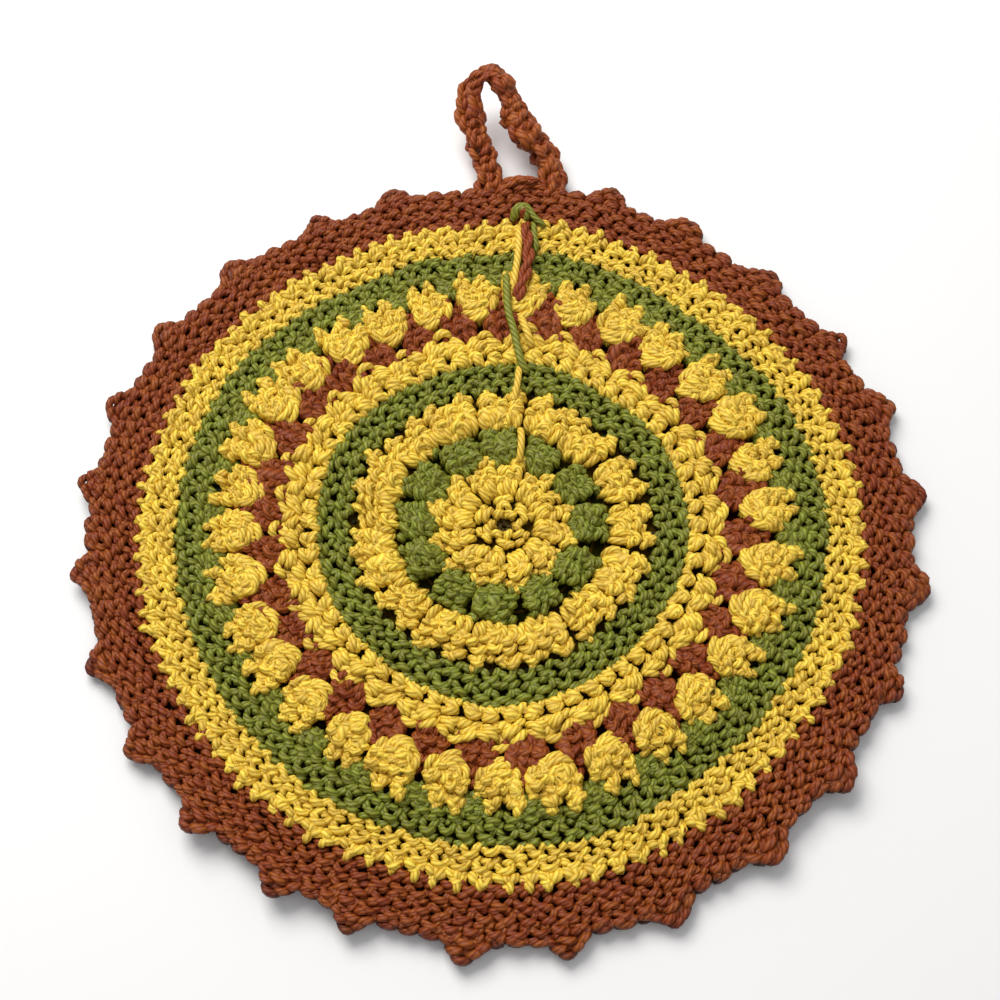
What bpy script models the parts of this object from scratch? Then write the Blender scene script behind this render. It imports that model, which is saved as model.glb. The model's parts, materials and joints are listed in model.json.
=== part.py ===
"""Round crocheted pot holder with a picot edging and a hanging loop, lying flat.

The mat is worked outwards from its centre in rounds of yellow, green and rust yarn. Its centre is the
origin, its underside lies on z = 0, and the hanging loop is on the +Y side. Sizes in the tables are in
millimetres, and angles are in degrees clockwise from the loop, as seen from above.
"""

import math
import random
from collections import namedtuple

import bmesh
import bpy
from mathutils import Vector
from mathutils.bvhtree import BVHTree
from mathutils.geometry import delaunay_2d_cdt

MM = 0.001

# Driving sizes
MAT_RADIUS = 52.6
EDGING_RADIUS = 60.0
PIECE_GAP = 0.3
SEAM_HEIGHT = 2.3
RIM_HEIGHT = 1.9
FOOT_INSET = 0.5
RIM_STEPS = 120

# Unevenness of hand work: the stitches sit closer on the left, and no two are quite alike
LEAN = 3.0
HEIGHT_SPREAD = 0.12
PLACE_SPREAD = 0.14
RIM_WAVE = 0.35
RIM_WAVES = 5
BUMP_RISE = 0.22
SEED = 11

# Fineness of the outlines: degrees between plain rim points, parts of a curve, and the merging distance
RIM_STEP = 3.0
CURVE_PARTS = 24
MERGE_DISTANCE = 0.00001

YELLOW = (0.90, 0.58, 0.06)
GREEN = (0.09, 0.17, 0.03)
RUST = (0.28, 0.052, 0.018)

PlainRound = namedtuple("PlainRound", "crest bumps height")
Valley = namedtuple("Valley", "radius points height")
Band = namedtuple("Band", "clusters phase spots")
Spot = namedtuple("Spot", "radius side height")
Picot = namedtuple("Picot", "angle reach")
Lift = namedtuple("Lift", "angle width height")
Strand = namedtuple("Strand", "name colour width route")
Knot = namedtuple("Knot", "x y z")

# Rounds of plain stitches show as raised rings, two stitches to a bump on the outer ones
MAT_ROUNDS = (
    PlainRound(crest=3.2, bumps=6, height=3.1),
    PlainRound(crest=7.6, bumps=14, height=3.1),
    PlainRound(crest=23.5, bumps=56, height=3.2),
    PlainRound(crest=26.1, bumps=56, height=3.2),
    PlainRound(crest=44.5, bumps=52, height=3.2),
    PlainRound(crest=46.6, bumps=52, height=3.2),
    PlainRound(crest=48.9, bumps=60, height=3.2),
    PlainRound(crest=51.1, bumps=60, height=3.2),
)
MAT_VALLEYS = (
    Valley(radius=1.1, points=6, height=2.0),
    Valley(radius=5.4, points=14, height=2.6),
    Valley(radius=22.3, points=32, height=2.4),
    Valley(radius=24.8, points=56, height=2.6),
    Valley(radius=27.3, points=56, height=2.5),
    Valley(radius=45.5, points=60, height=2.6),
    Valley(radius=47.7, points=60, height=2.6),
    Valley(radius=50.0, points=60, height=2.6),
)
EDGING_ROUNDS = (
    PlainRound(crest=54.0, bumps=64, height=3.1),
    PlainRound(crest=55.9, bumps=64, height=3.1),
    PlainRound(crest=57.7, bumps=64, height=3.0),
    PlainRound(crest=59.3, bumps=64, height=2.7),
)
EDGING_VALLEYS = (
    Valley(radius=54.9, points=64, height=2.5),
    Valley(radius=56.8, points=64, height=2.5),
    Valley(radius=58.5, points=64, height=2.4),
)

# One cluster of each band: radius, place across the cluster's share of the round (-0.5 to 0.5), height
GREEN_KNOB = (
    Spot(10.2, 0.00, 2.7),
    Spot(11.6, -0.24, 3.6),
    Spot(11.6, 0.24, 3.6),
    Spot(12.8, 0.00, 4.0),
    Spot(14.0, -0.25, 3.6),
    Spot(14.0, 0.25, 3.6),
    Spot(15.1, 0.00, 2.6),
    Spot(11.0, 0.50, 2.3),
    Spot(13.2, 0.50, 2.2),
    Spot(15.2, 0.50, 2.4),
)
YELLOW_FAN_SMALL = (
    Spot(16.2, 0.00, 2.6),
    Spot(17.4, -0.20, 3.5),
    Spot(17.4, 0.20, 3.5),
    Spot(18.7, 0.00, 3.8),
    Spot(19.4, -0.30, 3.6),
    Spot(19.4, 0.30, 3.6),
    Spot(20.9, -0.14, 3.4),
    Spot(20.9, 0.14, 3.4),
    Spot(17.2, 0.50, 2.3),
    Spot(20.0, 0.50, 2.3),
)
YELLOW_KNOB = (
    Spot(28.4, 0.00, 2.6),
    Spot(29.6, -0.20, 3.4),
    Spot(29.6, 0.20, 3.4),
    Spot(30.9, 0.00, 3.8),
    Spot(31.7, -0.23, 3.3),
    Spot(31.7, 0.23, 3.3),
    Spot(33.1, 0.00, 2.5),
    Spot(32.9, -0.33, 2.3),
    Spot(32.9, 0.33, 2.3),
    Spot(29.2, 0.50, 2.2),
    Spot(31.2, 0.50, 2.2),
)
RUST_KNOB = (
    Spot(34.2, -0.20, 3.0),
    Spot(34.2, 0.20, 3.0),
    Spot(35.6, 0.00, 3.4),
    Spot(36.6, -0.13, 3.0),
    Spot(36.6, 0.13, 3.0),
    Spot(38.3, 0.00, 2.4),
    Spot(34.5, 0.50, 2.2),
)
YELLOW_FAN = (
    Spot(35.9, 0.00, 2.6),
    Spot(37.1, 0.00, 3.6),
    Spot(38.5, -0.17, 3.8),
    Spot(38.5, 0.17, 3.8),
    Spot(39.5, 0.00, 4.1),
    Spot(40.6, -0.27, 3.8),
    Spot(40.6, 0.27, 3.8),
    Spot(41.9, -0.10, 3.8),
    Spot(41.9, 0.10, 3.8),
    Spot(37.5, -0.33, 2.4),
    Spot(37.5, 0.33, 2.4),
    Spot(40.3, 0.50, 2.3),
    Spot(42.6, 0.50, 2.4),
    Spot(43.3, -0.20, 2.6),
    Spot(43.3, 0.20, 2.6),
)
MAT_BANDS = (
    Band(clusters=14, phase=-1.5, spots=GREEN_KNOB),
    Band(clusters=16, phase=0.0, spots=YELLOW_FAN_SMALL),
    Band(clusters=32, phase=6.5, spots=YELLOW_KNOB),
    Band(clusters=32, phase=0.9, spots=RUST_KNOB),
    Band(clusters=32, phase=6.5, spots=YELLOW_FAN),
)

# Picots round the rim, leaving room for the loop's feet between -18 and 15 degrees
PICOTS = (
    Picot(-177.0, 2.5),
    Picot(-162.5, 2.9),
    Picot(-152.0, 2.2),
    Picot(-138.5, 3.0),
    Picot(-126.0, 2.6),
    Picot(-113.0, 2.4),
    Picot(-99.5, 2.7),
    Picot(-86.0, 2.2),
    Picot(-73.5, 2.8),
    Picot(-60.0, 2.4),
    Picot(-46.0, 2.6),
    Picot(-31.0, 2.2),
    Picot(-18.5, 1.9),
    Picot(15.0, 2.0),
    Picot(28.0, 2.5),
    Picot(42.5, 2.3),
    Picot(56.5, 2.8),
    Picot(69.0, 3.0),
    Picot(83.0, 2.3),
    Picot(97.0, 2.7),
    Picot(112.5, 2.4),
    Picot(127.5, 2.8),
    Picot(141.0, 2.5),
    Picot(156.0, 2.9),
    Picot(170.0, 2.3),
)
PICOT_HALF_WIDTH = 3.4
PICOT_FLANKS = (-1.0, -0.78, -0.34, 0.34, 0.78, 1.0)
PICOT_CREST = 2.6
PICOT_CREST_FLANKS = (-0.3, 0.3)
PICOT_CREST_SHARE = 0.35
PICOT_ROUNDNESS = 0.7

# Stretches of the rim that curl up off the table a little
RIM_LIFTS = (
    Lift(angle=-148.0, width=26.0, height=1.1),
    Lift(angle=-92.0, width=18.0, height=0.5),
    Lift(angle=132.0, width=22.0, height=0.8),
)
LIFT_START = 53.5

# Hanging loop: a flat crocheted cord that leaves the rim, rises to its bend and comes back
LOOP_ROUTE = (
    Knot(-3.7, 60.5, 1.9),
    Knot(-4.2, 63.0, 2.2),
    Knot(-6.2, 69.0, 3.8),
    Knot(-7.7, 73.3, 6.0),
    Knot(-8.1, 76.1, 8.2),
    Knot(-6.6, 78.5, 9.4),
    Knot(-4.3, 79.4, 9.5),
    Knot(-2.0, 77.4, 9.0),
    Knot(-0.1, 73.6, 7.4),
    Knot(3.4, 69.6, 5.0),
    Knot(5.9, 65.9, 3.2),
    Knot(6.6, 62.6, 2.2),
    Knot(6.6, 60.3, 1.9),
)
LOOP_HALF_WIDTH = 2.15
LOOP_HALF_HEIGHT = 1.45
LOOP_STITCH = 1.9
LOOP_SWELL = 0.09
LOOP_SIDES = 8

# Yarn carried over the face from one round to the next at the join, and the yarn ends tied off there
STRANDS = (
    Strand("rust_strand", RUST, 1.7, ((2.5, 52.0), (2.3, 47.6), (1.9, 42.9), (1.6, 38.8))),
    Strand("yellow_strand", YELLOW, 1.1, ((0.7, 48.6), (0.5, 45.3), (0.3, 41.8))),
    Strand("green_strand", GREEN, 1.1, ((-0.4, 39.9), (0.3, 37.1), (1.4, 31.7), (3.0, 26.0))),
    Strand("yellow_tail", YELLOW, 1.1, ((1.7, 24.9), (1.5, 22.8), (1.1, 20.6))),
    Strand("yellow_tail_inner", YELLOW, 1.1, ((2.3, 15.0), (2.4, 12.6), (2.3, 10.4))),
    Strand(
        "green_tail", GREEN, 1.0,
        ((0.4, 54.6), (1.4, 56.0), (3.1, 56.2), (4.6, 54.8), (4.3, 52.6), (4.2, 50.2)),
    ),
)
STRAND_STEP = 0.9

# Places round a strand at which the height of the work under it is taken, and where each look down starts
PROBE_SIDES = 8
PROBE_SHARES = (0.0, 0.6, 1.0)
PROBE_HEIGHT = 20.0


def polar(radius, angle, height):
    """Point in metres at a radius and height in millimetres and an angle clockwise from +Y."""
    turn = math.radians(angle)
    return Vector((radius * math.sin(turn), radius * math.cos(turn), height)) * MM


def leaned(angle):
    """Angle of a stitch after the work's lean, which crowds the left side and opens the right."""
    return angle - LEAN * math.cos(math.radians(angle))


def rim_lift(radius, angle):
    """Height in millimetres by which the rim has curled up off the table at this place."""
    outward = min(max((radius - LIFT_START) / (EDGING_RADIUS - LIFT_START), 0.0), 1.3)
    lift = 0.0
    for row in RIM_LIFTS:
        away = abs((angle - row.angle + 180.0) % 360.0 - 180.0) / row.width
        if away < 1.0:
            lift += row.height * (0.5 + 0.5 * math.cos(math.pi * away))
    return lift * outward * outward


def edging_reach(angle):
    """Radius of the edging's rim at an angle, with its picots."""
    turn = math.radians(angle)
    away_from_loop = math.sin(turn / 2.0) ** 2
    reach = EDGING_RADIUS + RIM_WAVE * math.sin(RIM_WAVES * turn) * away_from_loop
    for picot in PICOTS:
        away = (angle - picot.angle + 180.0) % 360.0 - 180.0
        share = abs(math.radians(away) * EDGING_RADIUS / PICOT_HALF_WIDTH)
        if share < 1.0:
            reach += picot.reach * math.cos(share * math.pi / 2.0) ** PICOT_ROUNDNESS
    return reach


def round_points(rows, draw):
    """Crest points of plain rounds: high on each bump, lower between two bumps."""
    points = []
    for row in rows:
        for step in range(2 * row.bumps):
            angle = leaned(180.0 * step / row.bumps)
            rise = BUMP_RISE if step % 2 else -BUMP_RISE
            height = row.height + rise + draw.uniform(-HEIGHT_SPREAD, HEIGHT_SPREAD)
            radius = row.crest + draw.uniform(-PLACE_SPREAD, PLACE_SPREAD)
            points.append(polar(radius, angle, height + rim_lift(radius, angle)))
    return points


def valley_points(rows):
    """Points along the furrows between rounds."""
    points = []
    for row in rows:
        for step in range(row.points):
            angle = leaned(360.0 * (step + 0.5) / row.points)
            points.append(polar(row.radius, angle, row.height + rim_lift(row.radius, angle)))
    return points


def cluster_points(bands, draw):
    """Points of every cluster of every band."""
    points = []
    for band in bands:
        share = 360.0 / band.clusters
        for index in range(band.clusters):
            for spot in band.spots:
                angle = leaned(band.phase + share * (index + spot.side))
                radius = spot.radius + draw.uniform(-PLACE_SPREAD, PLACE_SPREAD)
                height = spot.height + draw.uniform(-HEIGHT_SPREAD, HEIGHT_SPREAD)
                points.append(polar(radius, angle, height))
    return points


def circle_rim(radius, height):
    """Round rim as a closed row of points, clockwise from +Y."""
    return [polar(radius, 360.0 * step / RIM_STEPS, height) for step in range(RIM_STEPS)]


def picot_rim(inset, height):
    """The edging's outer rim as a closed row of points, clockwise from +Y."""
    angles = []
    half_width = math.degrees(PICOT_HALF_WIDTH / EDGING_RADIUS)
    for index, picot in enumerate(PICOTS):
        following = PICOTS[(index + 1) % len(PICOTS)].angle
        angles += [picot.angle + flank * half_width for flank in PICOT_FLANKS]
        start = picot.angle + half_width
        span = (following - half_width - start) % 360.0
        plain = max(2, round(span / RIM_STEP))
        angles += [start + span * step / plain for step in range(1, plain)]
    points = []
    for angle in angles:
        reach = edging_reach(angle)
        points.append(polar(reach - inset, angle, height + rim_lift(reach, angle)))
    return points


def picot_points():
    """Crest points that round off each picot's top."""
    points = []
    for picot in PICOTS:
        for flank in PICOT_CREST_FLANKS:
            angle = picot.angle + flank * math.degrees(PICOT_HALF_WIDTH / EDGING_RADIUS)
            radius = EDGING_RADIUS + PICOT_CREST_SHARE * picot.reach
            points.append(polar(radius, angle, PICOT_CREST + rim_lift(radius, angle)))
    return points


def skin(bm, rims, relief):
    """Triangulates the area between rims, through every relief point, and returns the rims' vertices."""
    points = [point for rim in rims for point in rim] + relief
    borders = []
    start = 0
    for rim in rims:
        borders += [(start + step, start + (step + 1) % len(rim)) for step in range(len(rim))]
        start += len(rim)
    flat = [point.xy / MM for point in points]
    result = delaunay_2d_cdt(flat, borders, [], 2, MERGE_DISTANCE)
    verts = [bm.verts.new(points[sources[0]]) for sources in result[3]]
    for face in result[2]:
        corners = [result[3][index][0] for index in face]
        spans_hole = all(len(rims[0]) <= corner < start for corner in corners)
        if not spans_hole:
            bm.faces.new([verts[index] for index in face])
    by_source = {source: vert for vert, sources in zip(verts, result[3]) for source in sources}
    return [by_source[index] for index in range(start)]


def closed_sheet(bm, upper_rims, lower_rims, relief):
    """One closed body: a top through the relief points, an underside, and walls between their rims."""
    upper = skin(bm, upper_rims, relief)
    lower = skin(bm, lower_rims, [])
    start = 0
    for rim in upper_rims:
        count = len(rim)
        for step in range(count):
            here = start + step
            after = start + (step + 1) % count
            bm.faces.new((upper[here], upper[after], lower[after], lower[here]))
        start += count
    bmesh.ops.recalc_face_normals(bm, faces=bm.faces)


def yarn_material(name, colour):
    """Matt cotton yarn of one colour."""
    material = bpy.data.materials.new(name)
    material.use_nodes = True
    shader = material.node_tree.nodes["Principled BSDF"]
    shader.inputs["Base Color"].default_value = (*colour, 1.0)
    shader.inputs["Roughness"].default_value = 0.85
    shader.inputs["Metallic"].default_value = 0.0
    return material


def add_mesh(collection, name, colour, bm):
    """Turns a built mesh into a named object with its own yarn material."""
    mesh = bpy.data.meshes.new(name)
    bm.to_mesh(mesh)
    bm.free()
    mesh.shade_smooth()
    mesh.set_sharp_from_angle(angle=math.radians(50.0))
    mesh.materials.append(yarn_material(name + "_yarn", colour))
    piece = bpy.data.objects.new(name, mesh)
    collection.objects.link(piece)
    return piece


def build_mat(collection):
    """The mat itself: one solid with its rounds and clusters raised in its top face."""
    draw = random.Random(SEED)
    relief = round_points(MAT_ROUNDS, draw)
    relief += valley_points(MAT_VALLEYS)
    relief += cluster_points(MAT_BANDS, draw)
    bm = bmesh.new()
    closed_sheet(bm, [circle_rim(MAT_RADIUS, SEAM_HEIGHT)], [circle_rim(MAT_RADIUS, 0.0)], relief)
    return add_mesh(collection, "mat", YELLOW, bm)


def build_edging(collection):
    """The rust edging: a flat ring of plain rounds that ends in picots."""
    draw = random.Random(SEED + 1)
    relief = round_points(EDGING_ROUNDS, draw)
    relief += valley_points(EDGING_VALLEYS)
    relief += picot_points()
    inner = MAT_RADIUS + PIECE_GAP
    upper = [picot_rim(0.0, RIM_HEIGHT), circle_rim(inner, SEAM_HEIGHT)]
    lower = [picot_rim(FOOT_INSET, 0.0), circle_rim(inner, 0.0)]
    bm = bmesh.new()
    closed_sheet(bm, upper, lower, relief)
    return add_mesh(collection, "picot_edging", RUST, bm)


def smooth_route(points, step):
    """Evenly spaced points, and their directions, along a smooth curve through the given points."""
    ends = [points[0] * 2.0 - points[1]] + list(points) + [points[-1] * 2.0 - points[-2]]
    fine = []
    for before, start, end, after in zip(ends, ends[1:], ends[2:], ends[3:]):
        for part in range(CURVE_PARTS):
            t = part / CURVE_PARTS
            fine.append(0.5 * (
                2.0 * start
                + (end - before) * t
                + (2.0 * before - 5.0 * start + 4.0 * end - after) * t ** 2
                + (3.0 * start - before - 3.0 * end + after) * t ** 3
            ))
    fine.append(points[-1])
    lengths = [0.0]
    for start, end in zip(fine, fine[1:]):
        lengths.append(lengths[-1] + (end - start).length)
    count = max(2, round(lengths[-1] / step))
    spaced = []
    index = 0
    for number in range(count + 1):
        goal = lengths[-1] * number / count
        while index < len(fine) - 2 and lengths[index + 1] < goal:
            index += 1
        share = (goal - lengths[index]) / (lengths[index + 1] - lengths[index])
        spaced.append(fine[index].lerp(fine[index + 1], share))
    return spaced


def build_loop(collection):
    """The hanging loop: a flat crocheted cord with a swelling at each stitch."""
    knots = [Vector(row) * MM for row in LOOP_ROUTE]
    route = smooth_route(knots, LOOP_STITCH * MM / 2.0)
    bm = bmesh.new()
    rings = []
    for index, centre in enumerate(route):
        if index == 0:
            along = Vector((0.0, 1.0, 0.0))
        elif index == len(route) - 1:
            along = Vector((0.0, -1.0, 0.0))
        else:
            along = (route[index + 1] - route[index - 1]).normalized()
        across = along.cross(Vector((0.0, 0.0, 1.0))).normalized()
        over = across.cross(along)
        swell = 1.0 + (LOOP_SWELL if index % 2 else -LOOP_SWELL)
        ring = []
        for side in range(LOOP_SIDES):
            turn = 2.0 * math.pi * (side + 0.5) / LOOP_SIDES
            offset = across * LOOP_HALF_WIDTH * math.cos(turn) + over * LOOP_HALF_HEIGHT * math.sin(turn)
            ring.append(bm.verts.new(centre + offset * swell * MM))
        rings.append(ring)
    for near, far in zip(rings, rings[1:]):
        for side in range(LOOP_SIDES):
            after = (side + 1) % LOOP_SIDES
            bm.faces.new((near[side], near[after], far[after], far[side]))
    bm.faces.new(rings[0])
    bm.faces.new(rings[-1])
    bmesh.ops.recalc_face_normals(bm, faces=bm.faces)
    return add_mesh(collection, "hanging_loop", RUST, bm)


def top_at(trees, place, reach):
    """Height of the highest work within reach of a place."""
    heights = []
    for side in range(PROBE_SIDES):
        angle = 2.0 * math.pi * side / PROBE_SIDES
        for share in PROBE_SHARES:
            probe = place + Vector((math.cos(angle), math.sin(angle), 0.0)) * reach * share
            probe.z = PROBE_HEIGHT * MM
            for tree in trees:
                hit = tree.ray_cast(probe, Vector((0.0, 0.0, -1.0)))
                if hit[0] is not None:
                    heights.append(hit[0].z)
    return max(heights)


def build_strand(collection, strand, trees):
    """One strand of yarn that lies along the top of the work."""
    radius = strand.width * MM / 2.0
    plan = smooth_route([Vector((x, y, 0.0)) * MM for x, y in strand.route], STRAND_STEP * MM)
    tops = [top_at(trees, place, radius) for place in plan]
    points = []
    for index, place in enumerate(plan):
        beside = tops[max(0, index - 1):index + 2]
        points.append((place.x, place.y, max(beside) + PIECE_GAP * MM + radius, 1.0))
    curve = bpy.data.curves.new(strand.name, "CURVE")
    curve.dimensions = "3D"
    spline = curve.splines.new("POLY")
    spline.points.add(len(points) - 1)
    for target, point in zip(spline.points, points):
        target.co = point
    curve.bevel_depth = radius
    curve.bevel_resolution = 2
    curve.use_fill_caps = True
    curve.materials.append(yarn_material(strand.name + "_yarn", strand.colour))
    piece = bpy.data.objects.new(strand.name, curve)
    collection.objects.link(piece)
    return piece


def main():
    """Builds every piece of the pot holder."""
    for item in list(bpy.data.objects):
        bpy.data.objects.remove(item)
    collection = bpy.data.collections.new("crocheted_pot_holder")
    bpy.context.scene.collection.children.link(collection)
    mat = build_mat(collection)
    edging = build_edging(collection)
    build_loop(collection)
    trees = []
    for piece in (mat, edging):
        corners = [vertex.co for vertex in piece.data.vertices]
        trees.append(BVHTree.FromPolygons(corners, [face.vertices for face in piece.data.polygons]))
    for strand in STRANDS:
        build_strand(collection, strand, trees)


main()
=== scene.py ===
"""Crocheted pot holder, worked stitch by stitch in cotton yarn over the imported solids.

The face that shows is the wrong side of the work. Each plain stitch is an arch of yarn with a bar over it,
each long stitch a pair of long strands with a wrap, an arch and a bar, and each is laid round its own round
of the mat. Lengths are in metres, sizes in the tables are in millimetres, and angles are in degrees
clockwise from the hanging loop, as seen from above.
"""

import functools
import json
import logging
import math
import random
from dataclasses import dataclass, field
from enum import Enum

import bmesh
import bpy
from mathutils import Matrix, Vector, noise

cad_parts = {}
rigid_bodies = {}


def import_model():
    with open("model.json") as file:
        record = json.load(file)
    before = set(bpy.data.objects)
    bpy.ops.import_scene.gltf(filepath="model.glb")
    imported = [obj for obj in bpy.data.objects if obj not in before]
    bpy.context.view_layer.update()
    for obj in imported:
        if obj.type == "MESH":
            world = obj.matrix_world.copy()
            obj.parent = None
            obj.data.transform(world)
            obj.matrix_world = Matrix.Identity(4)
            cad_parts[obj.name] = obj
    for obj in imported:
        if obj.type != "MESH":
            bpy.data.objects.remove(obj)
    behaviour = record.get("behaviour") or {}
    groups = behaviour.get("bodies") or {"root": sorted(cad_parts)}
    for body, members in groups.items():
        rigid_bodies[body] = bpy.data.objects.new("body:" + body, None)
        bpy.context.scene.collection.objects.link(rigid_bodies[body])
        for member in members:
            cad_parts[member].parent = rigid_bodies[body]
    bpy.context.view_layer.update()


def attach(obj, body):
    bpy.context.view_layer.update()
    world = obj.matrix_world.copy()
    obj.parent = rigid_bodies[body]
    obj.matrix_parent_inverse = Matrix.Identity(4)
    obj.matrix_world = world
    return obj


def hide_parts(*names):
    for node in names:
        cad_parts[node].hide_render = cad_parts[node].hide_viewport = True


LOG = logging.getLogger("pot_holder")
MM = 0.001
Place = tuple[float, float, float]
YARN_LAY = 4.4


class Tint(Enum):
    """The three colours of yarn in the work."""

    YELLOW = "yellow_yarn"
    GREEN = "green_yarn"
    RUST = "rust_yarn"


@dataclass(frozen=True)
class Strand:
    """One run of yarn that shows in a stitch.

    Args:
        name: what it does in the stitch.
        places: points (across, outward, up) on it; across and outward are shares of the stitch's width and
            height, and up is in millimetres from the middle of the work.
        thickness: its thickness as a share of the yarn's.
    """

    name: str
    places: tuple[Place, ...]
    thickness: float = 1.0


def twine(name: str, *places: tuple[int, int, int], thickness: float = 1.0) -> Strand:
    """Makes a strand of places given in hundredths.

    Args:
        name: what it does in the stitch.
        places: points (across, outward, up) on it, in hundredths of what Strand takes.
        thickness: its thickness as a share of the yarn's.

    Returns:
        The strand.
    """
    return Strand(name, tuple((x / 100, y / 100, z / 100) for x, y, z in places), thickness)


PLAIN_STITCH = (
    twine("base_left", (-46, -10, -30), (-42, 10, 62), (-30, 28, 95), (-14, 42, 15)),
    twine("base_right", (46, -6, -30), (38, 14, 66), (26, 30, 98), (8, 40, 15)),
    twine("cap", (-36, 34, 0), (-25, 50, 95), (0, 60, 122), (22, 54, 102), (34, 38, 10)),
    twine("top_left", (-58, 64, -20), (-42, 76, 70), (-20, 86, 92), (-2, 84, 10)),
    twine("top_right", (2, 72, 0), (14, 86, 95), (34, 92, 80), (54, 84, -20)),
    twine("near_leg", (5, -16, -30), (-10, 16, -92), (-24, 60, -102), (-40, 102, -40)),
    twine("far_leg", (2, -16, -30), (14, 16, -92), (28, 60, -102), (42, 102, -40)),
)

LONG_STITCH = (
    twine("left_run", (-6, -2, -60), (-26, 6, 55), (-34, 22, 110), (-28, 36, 95), (-20, 44, 10)),
    twine("right_run", (10, -2, -60), (16, 7, 65), (18, 23, 122), (26, 38, 105), (30, 46, 10)),
    twine("wrap_left", (-52, 36, -10), (-42, 46, 85), (-20, 52, 120), (-2, 48, 30)),
    twine("wrap_right", (2, 44, 20), (14, 54, 120), (34, 54, 95), (48, 44, 0)),
    twine("arch", (-30, 54, 10), (-36, 64, 92), (-16, 74, 130), (10, 75, 128), (30, 66, 90), (30, 56, 10)),
    twine("bar_left", (-56, 74, -10), (-42, 83, 72), (-20, 88, 92), (-2, 84, 10)),
    twine("bar_right", (0, 78, 10), (14, 88, 95), (34, 89, 75), (54, 80, -20)),
    twine("near_leg", (5, 0, -35), (-12, 18, -95), (-20, 60, -104), (-38, 98, -45)),
    twine("far_leg", (0, 0, -35), (14, 18, -95), (24, 60, -104), (40, 98, -45)),
    twine("heart", (0, 2, -20), (0, 30, 25), (0, 62, 30), (0, 94, -10), thickness=2.0),
)

STACKED_STITCH = (
    twine("foot_left", (-34, -5, -60), (-40, 7, 60), (-26, 20, 100), (-8, 27, 10)),
    twine("foot_right", (40, -3, -60), (36, 10, 65), (22, 22, 98), (4, 27, 10)),
    twine("low_cap", (-42, 20, -10), (-36, 32, 90), (-4, 41, 122), (26, 35, 102), (42, 22, -10)),
    twine("mid_left", (-50, 42, 0), (-40, 51, 90), (-20, 57, 118), (-3, 54, 20)),
    twine("mid_right", (0, 42, 10), (14, 53, 122), (34, 55, 95), (50, 45, 0)),
    twine("high_cap", (-36, 58, 10), (-34, 68, 98), (-6, 77, 132), (22, 71, 108), (38, 58, 10)),
    twine("bar_left", (-56, 76, -10), (-42, 86, 72), (-20, 92, 95), (-2, 88, 10)),
    twine("bar_right", (0, 80, 10), (14, 91, 98), (34, 92, 76), (54, 82, -20)),
) + LONG_STITCH[-3:]

TEETH = (
    twine("tooth_left", (-46, 72, 20), (-36, 96, 120), (-18, 120, 140), (-1, 140, 90), thickness=1.12),
    twine("tooth_right", (46, 72, 20), (37, 94, 115), (22, 116, 135), (6, 138, 90), thickness=1.12),
    twine("tooth_middle", (-12, 78, 30), (-2, 96, 100), (4, 114, 105), (4, 132, 50), thickness=1.15),
    twine("tooth_tip", (-20, 122, 60), (-13, 144, 125), (6, 156, 130), (20, 142, 110), (24, 122, 50)),
    twine("tooth_point", (0, 132, 80), (2, 150, 125), (4, 168, 120), (5, 184, 50), thickness=1.05),
)

# Strands laid over a cluster: across as a share of half its width, outward of its height
FAN_HEM = (
    twine("hem_low", (-60, 13, 60), (-32, 4, 120), (6, 4, 130), (42, 13, 120), (60, 24, 60)),
    twine("hem_middle", (-84, 30, 60), (-52, 17, 135), (-5, 17, 160), (40, 27, 145), (72, 42, 70)),
    twine("hem_high", (-92, 48, 60), (-62, 34, 135), (-15, 30, 170), (25, 37, 165), (52, 50, 90)),
    twine("hem_side", (52, 18, 70), (72, 30, 120), (86, 45, 120), (94, 60, 60)),
)
KNOB_ARCH = (
    twine("arch_left", (-138, 98, 20), (-112, 118, 110), (-78, 138, 130), (-42, 152, 80), thickness=1.1),
    twine("arch_top", (-60, 150, 70), (-25, 166, 120), (20, 168, 125), (60, 150, 70), thickness=1.1),
    twine("arch_right", (44, 153, 80), (80, 136, 130), (114, 116, 110), (138, 96, 20), thickness=1.1),
    twine("under_left", (-120, 82, 30), (-90, 100, 125), (-56, 118, 150), (-22, 128, 80), thickness=1.1),
    twine("under_right", (16, 136, 80), (50, 124, 150), (86, 104, 125), (122, 84, 30), thickness=1.1),
    twine("low_left", (-92, 76, 40), (-62, 92, 120), (-28, 103, 135), (6, 110, 70), thickness=1.1),
    twine("low_right", (-5, 102, 70), (28, 106, 140), (62, 94, 120), (94, 78, 40), thickness=1.1),
    twine("foot_left", (-100, 52, 40), (-82, 42, 125), (-62, 24, 130), (-44, 6, 40), thickness=1.2),
    twine("foot_inner_left", (-80, 62, 50), (-62, 52, 135), (-42, 34, 130), (-26, 16, 40), thickness=1.2),
    twine("foot_right", (28, 54, 40), (44, 42, 125), (62, 24, 130), (80, 6, 40), thickness=1.2),
    twine("foot_inner_right", (46, 64, 50), (66, 52, 135), (84, 34, 130), (102, 16, 40), thickness=1.2),
    twine("heart", (-105, 90, 0), (-40, 128, 30), (40, 128, 30), (105, 90, 0), thickness=2.0),
    twine("heart", (-80, 72, 0), (-30, 86, 30), (30, 86, 30), (80, 72, 0), thickness=1.8),
)

RIM_LINKS = (
    twine("rim_upper", (-55, 80, 10), (-25, 102, 55), (15, 106, 62), (45, 86, 20)),
    twine("rim_lower", (-45, 80, -40), (-15, 102, -62), (25, 104, -55), (55, 84, -30)),
)


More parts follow.
